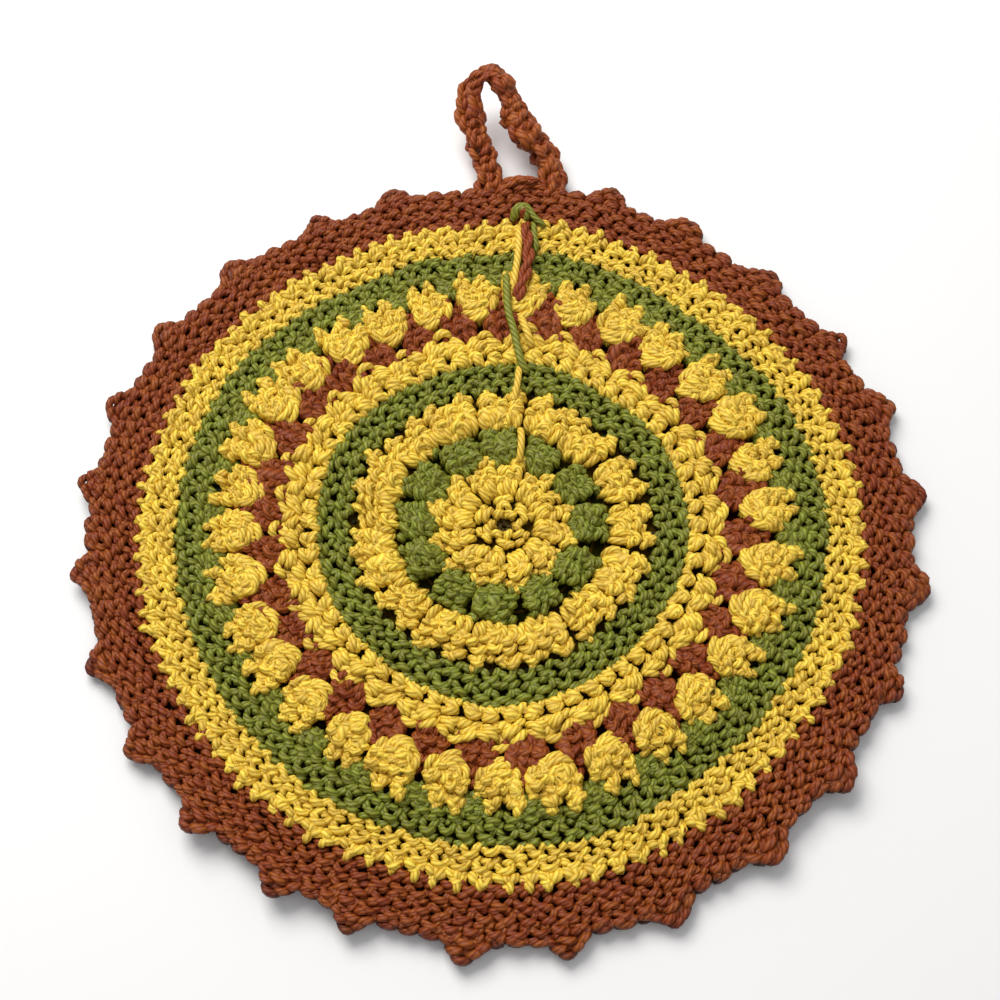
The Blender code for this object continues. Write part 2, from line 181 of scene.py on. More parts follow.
@dataclass(frozen=True)
class Yarn:
    """Finish of one colour of twisted cotton yarn.

    Args:
        tint: which yarn it is.
        light: colour on the crest of a ply.
        groove: colour between two plies, the yarn darkened as painted shade.
        roughness: roughness of the mercerised surface.
        lustre: how strongly it reflects.
        plies: twice the number of plies that wind round it.
        lay: length in millimetres in which they wind round once.
    """

    tint: Tint
    light: tuple[float, float, float]
    # Painted shade: the groove colour is the yarn darkened for the shade between its plies
    groove: tuple[float, float, float]
    roughness: float = 0.45
    lustre: float = 0.4
    plies: float = 4.0
    lay: float = YARN_LAY

    def material(self, packed: bool = False) -> bpy.types.Material:
        """Builds the yarn's material, or returns it if it has been built.

        Args:
            packed: whether it is for the yarn deep in the work, which has no lustre.

        Returns:
            The material.
        """
        name = f"{self.tint.name.lower()}_{'packed' if packed else 'cotton'}"
        if name in bpy.data.materials:
            return bpy.data.materials[name]
        material = bpy.data.materials.new(name)
        material.use_nodes = True
        tree = material.node_tree
        bench = Bench(tree)
        shader = tree.nodes["Principled BSDF"]
        cotton = bench.add("ShaderNodeGroup", node_tree=twisted_cotton())
        cotton.inputs["Light"].default_value = (*self.light, 1.0)
        cotton.inputs["Groove"].default_value = (*self.groove, 1.0)
        cotton.inputs["Plies"].default_value = self.plies
        cotton.inputs["Lay"].default_value = self.lay
        bump = bench.add("ShaderNodeBump", {
            "Height": cotton.outputs["Height"], "Distance": 0.17 * MM, "Strength": 0.85,
        })
        tree.links.new(cotton.outputs["Color"], shader.inputs["Base Color"])
        tree.links.new(bump.outputs["Normal"], shader.inputs["Normal"])
        shader.inputs["Roughness"].default_value = 1.0 if packed else self.roughness
        shader.inputs["Specular IOR Level"].default_value = 0.0 if packed else self.lustre
        return material


YARNS = {
    Tint.YELLOW: Yarn(Tint.YELLOW, light=(0.91, 0.665, 0.085), groove=(0.53, 0.265, 0.002)),
    Tint.GREEN: Yarn(Tint.GREEN, light=(0.25, 0.272, 0.027), groove=(0.078, 0.078, 0.002)),
    Tint.RUST: Yarn(
        Tint.RUST, light=(0.3, 0.067, 0.008), groove=(0.135, 0.012, 0.001), roughness=0.5, lustre=0.36,
    ),
}
Fed = float | int | tuple | bpy.types.NodeSocket


class Bench:
    """A node tree under construction, for geometry and for shaders alike."""

    def __init__(self, tree: bpy.types.NodeTree) -> None:
        """Keeps the tree that nodes are added to."""
        self.tree = tree

    def add(self, kind: str, inputs: dict[str | int, Fed] | None = None, **settings) -> bpy.types.Node:
        """Adds a node.

        Args:
            kind: the node's type name.
            inputs: values or sockets, by the input's name or number.
            settings: properties of the node, set before its inputs.

        Returns:
            The new node.
        """
        node = self.tree.nodes.new(kind)
        for name, value in settings.items():
            setattr(node, name, value)
        for name, value in (inputs or {}).items():
            self.feed(node, name, value)
        return node

    def feed(self, node: bpy.types.Node, name: str | int, value: Fed) -> None:
        """Links a socket into a node's input, or sets the input to a value.

        Args:
            node: the node.
            name: the input's name or number.
            value: the socket or the value.
        """
        target = node.inputs[name] if isinstance(name, int) else open_socket(node.inputs, name)
        if isinstance(value, bpy.types.NodeSocket):
            self.tree.links.new(value, target)
        else:
            target.default_value = value

    def maths(self, operation: str, *values: Fed) -> bpy.types.NodeSocket:
        """Adds a Math node on numbers or sockets and returns its result."""
        return self.add("ShaderNodeMath", dict(enumerate(values)), operation=operation).outputs[0]

    def vector(self, x: Fed = 0.0, y: Fed = 0.0, z: Fed = 0.0) -> bpy.types.NodeSocket:
        """Joins three numbers or sockets into a vector."""
        return self.add("ShaderNodeCombineXYZ", {0: x, 1: y, 2: z}).outputs[0]

    def chance(self, kind: str, low: Fed, high: Fed, seed: Fed) -> bpy.types.NodeSocket:
        """Adds a Random Value node and returns its result."""
        node = self.add("FunctionNodeRandomValue", {"Min": low, "Max": high, "Seed": seed}, data_type=kind)
        return open_socket(node.outputs, "Value")

    def scatter(self, seed: Fed, spread: Fed) -> bpy.types.NodeSocket:
        """Returns a random vector, each part of it at most the spread either way."""
        vector = self.chance("FLOAT_VECTOR", (-1.0,) * 3, (1.0,) * 3, seed)
        return self.add("ShaderNodeVectorMath", {0: vector, "Scale": spread}, operation="SCALE").outputs[0]

    def store(
        self, geometry: Fed, name: str, value: Fed, kind: str, domain: str = "POINT",
    ) -> bpy.types.NodeSocket:
        """Stores a value under a name.

        Args:
            geometry: what it is stored on.
            name: the attribute's name.
            value: the value.
            kind: its data type.
            domain: whether points or instances carry it.

        Returns:
            The geometry with the value on it.
        """
        return self.add("GeometryNodeStoreNamedAttribute", {
            "Geometry": geometry, "Name": name, "Value": value,
        }, data_type=kind, domain=domain).outputs[0]

    def stored(self, name: str, kind: str) -> bpy.types.NodeSocket:
        """Reads a stored value back."""
        node = self.add("GeometryNodeInputNamedAttribute", {"Name": name}, data_type=kind)
        return open_socket(node.outputs, "Attribute")


class Group(Bench):
    """A node group under construction, with its named inputs and outputs."""

    def __init__(self, name: str, kind: str, inputs: tuple, outputs: tuple) -> None:
        """Makes the group.

        Args:
            name: the group's name.
            kind: its tree type.
            inputs: rows of (name, socket type, default or None).
            outputs: rows of (name, socket type).
        """
        super().__init__(bpy.data.node_groups.new(name, kind))
        for label, socket_kind, default in inputs:
            socket = self.tree.interface.new_socket(label, in_out="INPUT", socket_type=socket_kind)
            if default is not None:
                socket.default_value = default
        for label, socket_kind in outputs:
            self.tree.interface.new_socket(label, in_out="OUTPUT", socket_type=socket_kind)
        self.given = self.add("NodeGroupInput").outputs
        self.wanted = self.add("NodeGroupOutput")


def open_socket(sockets: bpy.types.bpy_prop_collection, name: str) -> bpy.types.NodeSocket:
    """Returns the socket in use among those that share a name."""
    return next(socket for socket in sockets if socket.name == name and socket.enabled)


@functools.cache
def twisted_cotton() -> bpy.types.NodeTree:
    """Builds the shader group for yarn: plies that wind round the strand, painted shade in their grooves,
    loose fibres, and painted shade deep in the work and at strands' ends.

    Returns:
        The group.
    """
    bench = Group(
        "twisted_cotton", "ShaderNodeTree",
        (
            ("Light", "NodeSocketColor", (1.0, 1.0, 1.0, 1.0)),
            ("Groove", "NodeSocketColor", (0.2, 0.2, 0.2, 1.0)),
            ("Plies", "NodeSocketFloat", 3.0),
            ("Lay", "NodeSocketFloat", 3.4),
        ),
        (("Color", "NodeSocketColor"), ("Height", "NodeSocketFloat")),
    )
    given = bench.given
    names = ("shade", "open_air", "showing")
    shade, open_air, showing = [
        bench.add("ShaderNodeAttribute", attribute_name=name).outputs["Fac"] for name in names
    ]
    uv = bench.add("ShaderNodeUVMap", uv_map="UVMap").outputs[0]
    along, around, _ = bench.add("ShaderNodeSeparateXYZ", {0: uv}).outputs
    turns = bench.maths("DIVIDE", along, given["Lay"])
    winding = bench.maths("MULTIPLY", bench.maths("ADD", turns, around), given["Plies"])
    wave = bench.maths("SINE", bench.maths("MULTIPLY", winding, math.pi))
    ply = bench.maths("MULTIPLY_ADD", bench.maths("ABSOLUTE", wave), 0.75, 0.2)
    fibre_place = bench.vector(
        bench.maths("MULTIPLY", winding, 9.0),
        bench.maths("MULTIPLY", along, 1.4),
        bench.maths("MULTIPLY", shade, 40.0),
    )
    fibre = bench.add("ShaderNodeTexNoise", {"Vector": fibre_place, "Scale": 1.0, "Detail": 3.0}).outputs[0]
    bench.feed(bench.wanted, "Height", bench.maths("MULTIPLY_ADD", fibre, 0.35, ply))
    streaked = bench.maths("MULTIPLY_ADD", bench.maths("SUBTRACT", fibre, 0.5), 1.1, ply)
    # Painted shade: the plies' crests mixed towards the darker groove colour, more so deep in the work
    body = bench.add("ShaderNodeMix", {
        "Factor": bench.maths("MULTIPLY", streaked, bench.maths("MULTIPLY_ADD", open_air, 0.7, 0.3)),
        "A": given["Groove"],
        "B": given["Light"],
    }, data_type="RGBA", clamp_factor=True)
    # Painted shade: darker deep in the work and towards each strand's ends; cords get painted light a little
    # above full
    painted_shade = bench.maths("MULTIPLY", bench.maths("MULTIPLY_ADD", open_air, 0.8, 0.2), showing)
    tone_and_painted_shade = bench.add("ShaderNodeHueSaturation", {
        "Color": open_socket(body.outputs, "Result"),
        "Value": bench.maths("MULTIPLY", bench.maths("MULTIPLY_ADD", shade, 0.3, 0.92), painted_shade),
        "Hue": bench.maths("MULTIPLY_ADD", shade, 0.012, 0.494),
    })
    bench.feed(bench.wanted, "Color", tone_and_painted_shade.outputs[0])
    return bench.tree


SPREAD_INPUTS = (
    ("Stitch", "NodeSocketCollection", None),
    ("Strands", "NodeSocketInt", 4),
    ("Variants", "NodeSocketInt", 1),
    ("Sway", "NodeSocketFloat", 0.08),
    ("Swell", "NodeSocketFloat", 0.04),
    ("Turn Spread", "NodeSocketFloat", 0.1),
    ("Size Spread", "NodeSocketFloat", 0.04),
    ("Place Spread", "NodeSocketFloat", 0.08 * MM),
    ("Seed", "NodeSocketInt", 1),
    ("Yarn", "NodeSocketMaterial", None),
)
GEOMETRY_IN = ("Geometry", "NodeSocketGeometry", None)
GEOMETRY_OUT = (("Geometry", "NodeSocketGeometry"),)


class SeedStep(Enum):
    """How far the seed of each kind of looseness lies from the stitch's own seed."""

    PLACE = 35.0
    TURN = 71.0
    SIZE = 142.0
    SHADE = 213.0


@functools.cache
def lay_strands() -> bpy.types.NodeTree:
    """Builds the geometry group that lays every strand of a stitch at each point, none quite like the next.

    Returns:
        The group.
    """
    bench = Group(
        "lay_strands", "GeometryNodeTree",
        (("Points", "NodeSocketGeometry", None), ("Rotation", "NodeSocketRotation", None)) + SPREAD_INPUTS,
        GEOMETRY_OUT,
    )
    given = bench.given
    seeds = {step: bench.maths("ADD", given["Seed"], step.value) for step in SeedStep}
    drawn = bench.chance("FLOAT_VECTOR", (-1.0, -1.0, 0.0), (1.0, 1.0, 0.999), given["Seed"])
    habit = bench.store(given["Points"], "habit", drawn, "FLOAT_VECTOR")
    copies = bench.add("GeometryNodeDuplicateElements", {
        "Geometry": habit, "Amount": given["Strands"],
    }, domain="POINT")
    kept = bench.stored("habit", "FLOAT_VECTOR")
    sway, swell, choice = bench.add("ShaderNodeSeparateXYZ", {0: kept}).outputs
    placed = bench.add("GeometryNodeSetPosition", {
        "Geometry": copies.outputs["Geometry"],
        "Offset": bench.scatter(seeds[SeedStep.PLACE], given["Place Spread"]),
    })
    swing = bench.vector(z=bench.maths("MULTIPLY", sway, given["Sway"]))
    turn = bench.add("ShaderNodeVectorMath", {
        0: bench.scatter(seeds[SeedStep.TURN], given["Turn Spread"]), 1: swing,
    }, operation="ADD")
    turned = bench.add("FunctionNodeRotateRotation", {
        0: given["Rotation"],
        1: bench.add("FunctionNodeEulerToRotation", {0: turn.outputs[0]}).outputs[0],
    }, rotation_space="LOCAL")
    each = bench.chance("FLOAT", -1.0, 1.0, seeds[SeedStep.SIZE])
    usual = bench.maths("MULTIPLY_ADD", swell, given["Swell"], 1.0)
    version = bench.maths("FLOOR", bench.maths("MULTIPLY", choice, given["Variants"]))
    pick = bench.maths("MULTIPLY_ADD", version, given["Strands"], copies.outputs["Duplicate Index"])
    stitch = bench.add("GeometryNodeCollectionInfo", {
        "Collection": given["Stitch"], "Separate Children": True, "Reset Children": True,
    })
    laid = bench.add("GeometryNodeInstanceOnPoints", {
        "Points": placed.outputs[0],
        "Instance": stitch.outputs[0],
        "Pick Instance": True,
        "Instance Index": pick,
        "Rotation": turned.outputs[0],
        "Scale": bench.maths("MULTIPLY_ADD", each, given["Size Spread"], usual),
    })
    shade = bench.chance("FLOAT", 0.0, 1.0, seeds[SeedStep.SHADE])
    shaded = bench.store(laid.outputs[0], "shade", shade, "FLOAT", "INSTANCE")
    real = bench.add("GeometryNodeRealizeInstances", {0: shaded})
    dyed = bench.add("GeometryNodeSetMaterial", {"Geometry": real.outputs[0], "Material": given["Yarn"]})
    bench.feed(bench.wanted, 0, dyed.outputs[0])
    return bench.tree


def lay(bench: Group, points: Fed, rotation: Fed) -> bpy.types.NodeSocket:
    """Adds the group that lays the strands, fed with the tree's own inputs.

    Args:
        bench: the tree under construction.
        points: where the stitches go.
        rotation: how each is turned.

    Returns:
        The strands as laid.
    """
    laid = bench.add("GeometryNodeGroup", {"Points": points, "Rotation": rotation}, node_tree=lay_strands())
    for label, _, _ in SPREAD_INPUTS:
        bench.feed(laid, label, bench.given[label])
    return laid.outputs[0]


def facing_out(bench: Bench) -> bpy.types.NodeSocket:
    """Rotation that turns a stitch's height outwards at its point's stored angle."""
    angle = bench.maths("MULTIPLY", bench.stored("turn", "FLOAT"), -1.0)
    return bench.add("FunctionNodeEulerToRotation", {0: bench.vector(z=angle)}).outputs[0]


@functools.cache
def work_in_the_round() -> bpy.types.NodeTree:
    """Builds the geometry tree that adds one round of stitches to the work.

    Returns:
        The tree.
    """
    bench = Group(
        "work_in_the_round", "GeometryNodeTree",
        (
            GEOMETRY_IN,
            ("Stitches", "NodeSocketInt", 60),
            ("Radius", "NodeSocketFloat", 0.05),
            ("Phase", "NodeSocketFloat", 0.0),
            ("Lean", "NodeSocketFloat", 0.05),
            ("Height", "NodeSocketFloat", 0.0),
        ) + SPREAD_INPUTS,
        GEOMETRY_OUT,
    )
    given = bench.given
    share = bench.maths("DIVIDE", bench.add("GeometryNodeInputIndex").outputs[0], given["Stitches"])
    even = bench.maths("MULTIPLY_ADD", share, 2.0 * math.pi, given["Phase"])
    turn = bench.maths("SUBTRACT", even, bench.maths("MULTIPLY", bench.maths("COSINE", even), given["Lean"]))
    across = bench.maths("MULTIPLY", bench.maths("SINE", turn), given["Radius"])
    outward = bench.maths("MULTIPLY", bench.maths("COSINE", turn), given["Radius"])
    points = bench.add("GeometryNodePoints", {
        "Count": given["Stitches"], "Position": bench.vector(across, outward, given["Height"]),
    })
    marked = bench.store(points.outputs[0], "turn", turn, "FLOAT")
    joined = bench.add("GeometryNodeJoinGeometry", {0: given["Geometry"]})
    bench.feed(joined, 0, lay(bench, marked, facing_out(bench)))
    bench.feed(bench.wanted, 0, joined.outputs[0])
    return bench.tree


@functools.cache
def set_at_places() -> bpy.types.NodeTree:
    """Builds the geometry tree that sets a stitch at each vertex of the carrier, by the angle stored there.

    Returns:
        The tree.
    """
    bench = Group("set_at_places", "GeometryNodeTree", (GEOMETRY_IN,) + SPREAD_INPUTS, GEOMETRY_OUT)
    points = bench.add("GeometryNodeMeshToPoints", {0: bench.given["Geometry"]})
    bench.feed(bench.wanted, 0, lay(bench, points.outputs[0], facing_out(bench)))
    return bench.tree


@functools.cache
def work_along_a_cord() -> bpy.types.NodeTree:
    """Builds the geometry tree that works stitches along the carrier's line, their height along it.

    Returns:
        The tree.
    """
    bench = Group(
        "work_along_a_cord", "GeometryNodeTree",
        (GEOMETRY_IN, ("Stitches", "NodeSocketInt", 24)) + SPREAD_INPUTS, GEOMETRY_OUT,
    )
    curve = bench.add("GeometryNodeMeshToCurve", {0: bench.given["Geometry"]})
    points = bench.add("GeometryNodeCurveToPoints", {
        "Curve": curve.outputs[0], "Count": bench.given["Stitches"],
    }, mode="COUNT").outputs
    marked = bench.store(points["Points"], "along", points["Tangent"], "FLOAT_VECTOR")
    ahead = bench.add("FunctionNodeAlignRotationToVector", {
        "Vector": bench.stored("along", "FLOAT_VECTOR"),
    }, axis="Y")
    level = bench.add("FunctionNodeAlignRotationToVector", {
        "Rotation": ahead.outputs[0], "Vector": CORD_UP,
    }, axis="Z", pivot_axis="Y")
    bench.feed(bench.wanted, 0, lay(bench, marked, level.outputs[0]))
    return bench.tree


def smooth_path(points: list[Vector], count: int) -> list[Vector]:
    """Points evenly spaced along a smooth curve through the given ones.

    Args:
        points: the places that the curve passes.
        count: how many points to return.

    Returns:
        The spaced points, ends included.
    """
    parts = 8
    ends = [points[0] * 2.0 - points[1]] + list(points) + [points[-1] * 2.0 - points[-2]]
    fine = []
    for before, start, end, after in zip(ends, ends[1:], ends[2:], ends[3:]):
        for part in range(parts):
            t = part / parts
            fine.append(0.5 * (
                2.0 * start
                + (end - before) * t
                + (2.0 * before - 5.0 * start + 4.0 * end - after) * t ** 2
                + (3.0 * start - before - 3.0 * end + after) * t ** 3
            ))
    fine.append(points[-1])
    lengths = [0.0]
    for start, end in zip(fine, fine[1:]):
        lengths.append(lengths[-1] + (end - start).length)
    spaced = []
    index = 0
    for number in range(count):
        goal = lengths[-1] * number / (count - 1)
        while index < len(fine) - 2 and lengths[index + 1] < goal:
            index += 1
        share = (goal - lengths[index]) / (lengths[index + 1] - lengths[index])
        spaced.append(fine[index].lerp(fine[index + 1], share))
    return spaced


def data_layers(bm: bmesh.types.BMesh) -> tuple:
    """Returns a mesh's UV layer and its layer of painted shade towards a strand's ends, made where they are
    missing.
    """
    uv = bm.loops.layers.uv.get("UVMap") or bm.loops.layers.uv.new("UVMap")
    end_shade_layer = bm.verts.layers.float.get("showing") or bm.verts.layers.float.new("showing")
    return uv, end_shade_layer


def sweep(
    bm: bmesh.types.BMesh, path: list[Vector], radii: list[float], sides: int, start_along: float = 0.0,
) -> None:
    """Adds a closed tube of yarn to a mesh, with its length in millimetres and its turn as UV.

    Its points also keep a painted shadow: a strand's ends run into the work, and their colour is darkened
    there.

    Args:
        bm: the mesh.
        path: the tube's middle line.
        radii: its radius at each point.
        sides: how many sides it has.
        start_along: the length at its first end, so that the twist runs on.
    """
    uv, end_shade_layer = data_layers(bm)
    normal = (path[1] - path[0]).orthogonal().normalized()
    rings = []
    lengths = [start_along]
    for index, centre in enumerate(path):
        ahead = path[min(index + 1, len(path) - 1)]
        behind = path[max(index - 1, 0)]
        along = (ahead - behind).normalized()
        normal = (normal - along * normal.dot(along)).normalized()
        other = along.cross(normal)
        if index:
            lengths.append(lengths[-1] + (centre - path[index - 1]).length / MM)
        ring = []
        for side in range(sides):
            turn = 2.0 * math.pi * side / sides
            corner = bm.verts.new(centre + (normal * math.cos(turn) + other * math.sin(turn)) * radii[index])
            # Painted shadow: the colour darkens towards the strand's ends, where they run into the work
            corner[end_shade_layer] = min(1.0, radii[index] / max(radii) + 0.05)
            ring.append(corner)
        rings.append(ring)
    for index in range(len(rings) - 1):
        near, far = rings[index], rings[index + 1]
        for side in range(sides):
            after = (side + 1) % sides
            face = bm.faces.new((near[side], near[after], far[after], far[side]))
            face.smooth = True
            corners = (
                (lengths[index], side), (lengths[index], side + 1),
                (lengths[index + 1], side + 1), (lengths[index + 1], side),
            )
            for loop, (length, step) in zip(face.loops, corners):
                loop[uv].uv = (length, step / sides)
    for ring, length, reverse in ((rings[0], lengths[0], True), (rings[-1], lengths[-1], False)):
        face = bm.faces.new(reversed(ring) if reverse else ring)
        face.smooth = True
        for loop in face.loops:
            loop[uv].uv = (length, 0.5)


def mesh_object(name: str, bm: bmesh.types.BMesh) -> bpy.types.Object:
    """Turns a built mesh into an object of the scene.

    Args:
        name: the object's name.
        bm: the mesh, which is freed.

    Returns:
        The object.
    """
    mesh = bpy.data.meshes.new(name)
    bm.to_mesh(mesh)
    bm.free()
    item = bpy.data.objects.new(name, mesh)
    bpy.context.scene.collection.objects.link(item)
    return item


# Strands on the far side or inside a stitch, which are made plainer
HIDDEN_STRANDS = ("near_leg", "far_leg", "heart")
FEWEST_POINTS = 5
MOST_POINTS = 8
POINT_SPACING = 0.62
HIDDEN_SIDES = 5
# Thickness of a strand's ends as a share of its middle's, and how quickly it swells between them
END_SHARE = 0.4
TAPER = 0.6


@dataclass
class StitchKind:
    """One kind of stitch or cluster, as a set of strand shapes that the trees lay.

    Args:
        name: its name.
        strands: its strands, with places already in millimetres.
        radius: the yarn's radius in millimetres.
        sides: sides of each strand.
        variants: how many versions of it are made.
        play: how far the yarn strays between versions, in millimetres.
    """

    name: str
    strands: list[Strand]
    radius: float = 0.6
    sides: int = 6
    variants: int = 3
    play: float = 0.12
    collection: bpy.types.Collection | None = field(default=None, init=False)

    def build(self) -> bpy.types.Collection:
        """Builds the strand shapes.

        Returns:
            The collection that holds them, in order of name.
        """
        self.collection = bpy.data.collections.new(self.name)
        bpy.context.scene.collection.children.link(self.collection)
        chance = random.Random(self.name)
        for version in range(self.variants):
            for number, strand in enumerate(self.strands):
                self.shape(f"{self.name}_{version:02d}_{number:02d}_{strand.name}", strand, chance)
        return self.collection

    def shape(self, name: str, strand: Strand, chance: random.Random) -> None:
        """Builds one strand shape, its middle moved a little from the table's places.

        Args:
            name: the shape's name.
            strand: the strand, in millimetres.
            chance: where the moves are drawn from.
        """
        places = []
        for number, place in enumerate(strand.places):
            loose = self.play if 0 < number < len(strand.places) - 1 else 0.3 * self.play
            places.append(Vector([value + chance.gauss(0.0, loose) for value in place]) * MM)
        length = sum((b - a).length for a, b in zip(places, places[1:])) / MM
        hidden = strand.name in HIDDEN_STRANDS
        count = max(FEWEST_POINTS, min(MOST_POINTS, round(length / POINT_SPACING) + 1))
        if hidden:
            count = FEWEST_POINTS
        path = smooth_path(places, count)
        full = self.radius * strand.thickness * MM
        swells = [math.sin(math.pi * number / (count - 1)) ** TAPER for number in range(count)]
        radii = [full * (END_SHARE + (1.0 - END_SHARE) * swell) for swell in swells]
        bm = bmesh.new()
        sweep(bm, path, radii, HIDDEN_SIDES if hidden else self.sides, chance.uniform(0.0, YARN_LAY))
        item = mesh_object(name, bm)
        bpy.context.scene.collection.objects.unlink(item)
        self.collection.objects.link(item)

    def clear(self) -> None:
        """Removes the strand shapes once every piece is made of plain mesh."""
        for item in list(self.collection.objects):
            bpy.data.objects.remove(item)
        bpy.data.collections.remove(self.collection)


def plain_kind(name: str, width: float, height: float, extra: tuple[Strand, ...] = ()) -> StitchKind:
    """Scales the plain stitch.

    Args:
        name: the kind's name.
        width: the stitch's width in millimetres.
        height: its height.
        extra: further strands, such as a tooth.

    Returns:
        The kind of stitch.
    """
    strands = []
    for strand in PLAIN_STITCH + extra:
        places = tuple((x * width, y * height, z) for x, y, z in strand.places)
        strands.append(Strand(strand.name, places, strand.thickness))
    return StitchKind(name, strands)


# Where a cluster's teeth start and how much of the table's height they keep
TOOTH_TABLE_START = 0.78
TOOTH_START = 0.88
TOOTH_SHARE = 0.26
# Share of a cluster's height at which its stitches have spread out in full
SPREAD_END = 0.7
# How far the strands over a cluster reach past the last head, as a share of a stitch's width
HEM_REACH = 0.25


@dataclass(frozen=True)
class Cluster:
    """A group of long stitches that share a base.

    Args:
        name: its name.
        feet: where each stitch starts, across, in millimetres.
        heads: where each stitch ends, across.
        width: width of one stitch at its head.
        height: height of the group.
        narrow: width of a foot as a share of the head's width.
        crown: how much the middle stands proud, in millimetres.
        dome: how much later its outer stitches start, as a share of the height, which rounds its base.
        teeth: which of its stitches, by number, end in a pointed loop.
        stitches: the strands of its stitches, used in turn.
        hem: strands laid over it, such as those that close its base.
        reach: height of each stitch as a share of the cluster's, all alike if empty.
    """

    name: str
    feet: tuple[float, ...]
    heads: tuple[float, ...]
    width: float
    height: float
    narrow: float = 0.55
    crown: float = 0.4
    dome: float = 0.1
    teeth: tuple[int, ...] = ()
    stitches: tuple[tuple[Strand, ...], ...] = (STACKED_STITCH,)
    hem: tuple[Strand, ...] = ()
    reach: tuple[float, ...] = ()

    def kind(self) -> StitchKind:
        """Works out the cluster's strands.

        Returns:
            The kind of stitch that the whole cluster makes.
        """
        strands = []
        for number, (foot, head) in enumerate(zip(self.feet, self.heads)):
            teeth = TEETH if number in self.teeth else ()
            reach = self.reach[number] if self.reach else 1.0
            for strand in self.stitches[number % len(self.stitches)] + teeth:
                places = []
                for x, y, z in strand.places:
                    if strand in TEETH:
                        y = TOOTH_START + (y - TOOTH_TABLE_START) * TOOTH_SHARE
                    rise = min(max(y, 0.0), 1.0)
                    y += self.dome * (foot / self.feet[-1]) ** 2 * (1.0 - rise)
                    spread = math.sqrt(1.0 - (1.0 - min(rise / SPREAD_END, 1.0)) ** 2)
                    middle = foot + (head - foot) * spread
                    wide = self.width * (self.narrow + (1.0 - self.narrow) * spread)
                    dome = self.crown * math.sin(math.pi * rise) if z > 0.0 else 0.0
                    places.append((middle + x * wide, y * self.height * reach, z + dome))
                strands.append(Strand(strand.name, tuple(places), strand.thickness))
        half = self.heads[-1] + HEM_REACH * self.width
        for strand in self.hem:
            places = tuple((x * half, y * self.height, z) for x, y, z in strand.places)
            strands.append(Strand(strand.name, places, strand.thickness))
        return StitchKind(self.name, strands)


@dataclass
class Work:
    """A piece in progress: a carrier whose modifiers each add a round or a row of stitches.

    Args:
        name: the piece's name.
        yarn: what it is worked in.
        seed: seed of its looseness, which grows with each round.
        carrier: the object that holds the modifiers.
    """

    name: str
    yarn: Yarn
    seed: int = 1
    carrier: bpy.types.Object | None = None

    def add(self, tree: bpy.types.NodeTree, kind: StitchKind, **values) -> None:
        """Adds a round or row.

        Args:
            tree: the geometry tree that lays it.
            kind: the stitch to lay.
            values: the tree's other inputs, with underscores for spaces.
        """
        if self.carrier is None:
            self.carrier = mesh_object(self.name, bmesh.new())
        modifier = self.carrier.modifiers.new(tree.name, "NODES")
        modifier.node_group = tree
        self.seed += 1
        values = {
            "Stitch": kind.collection,
            "Strands": len(kind.strands),
            "Variants": kind.variants,
            "Seed": self.seed * 17,
            "Yarn": self.yarn.material(),
            **{name.replace("_", " "): value for name, value in values.items()},
        }
        for socket in tree.interface.items_tree:
            if socket.in_out == "INPUT" and socket.name in values:
                modifier[socket.identifier] = values[socket.name]

    def mesh(self) -> bpy.types.Mesh:
        """Evaluates the carrier and removes it.

        Returns:
            The work as one plain mesh.
        """
        depsgraph = bpy.context.evaluated_depsgraph_get()
        evaluated = self.carrier.evaluated_get(depsgraph)
        mesh = bpy.data.meshes.new_from_object(evaluated, preserve_all_data_layers=True, depsgraph=depsgraph)
        bpy.data.objects.remove(self.carrier)
        self.carrier = None
        return mesh

    def finish(self, *nodes: str) -> bpy.types.Object:
        """Turns the work into one plain mesh that rides on the part.

        Args:
            nodes: the solids that it stands for.

        Returns:
            The piece.
        """
        return finish_piece(self.name, self.mesh(), self.yarn, *nodes)


# How far the rounds stray outwards: angle in degrees, distance in millimetres
RING_DRIFT = (
    (-180.0, 0.9), (-168.0, 0.5), (-155.0, 0.3), (-135.0, 0.3), (-105.0, 0.5), (-80.0, 0.8), (-60.0, 0.8),
    (-42.0, 0.2), (-30.0, -0.4), (-19.0, 0.2), (-8.0, -0.1), (10.0, 0.8), (22.0, 0.1), (35.0, -0.6),
    (48.0, -0.1), (62.0, 0.7), (80.0, 0.7), (105.0, 0.2), (132.0, -0.6), (148.0, -0.2), (160.0, 0.5),
    (180.0, 0.9),
)


def ring_drift(angle: float) -> float:
    """Looks up how far the rounds stray.

    Args:
        angle: the angle in degrees.

    Returns:
        The distance outwards in millimetres.
    """
    for (start, low), (end, high) in zip(RING_DRIFT, RING_DRIFT[1:]):
        if angle <= end:
            share = (angle - start) / (end - start)
            return low + (high - low) * share * share * (3.0 - 2.0 * share)
    return RING_DRIFT[-1][1]


LOOSE_SEED = 5
# Looseness of the work in millimetres: spans and reaches of its slow and its quick waves
SLOW_SPAN = 13.0
SLOW_REACH = 0.45
QUICK_SPAN = 4.0
QUICK_REACH = 0.22
TOP_REACH = 0.25
TOP_START = 0.8
FULL_DRIFT_RADIUS = 45.0


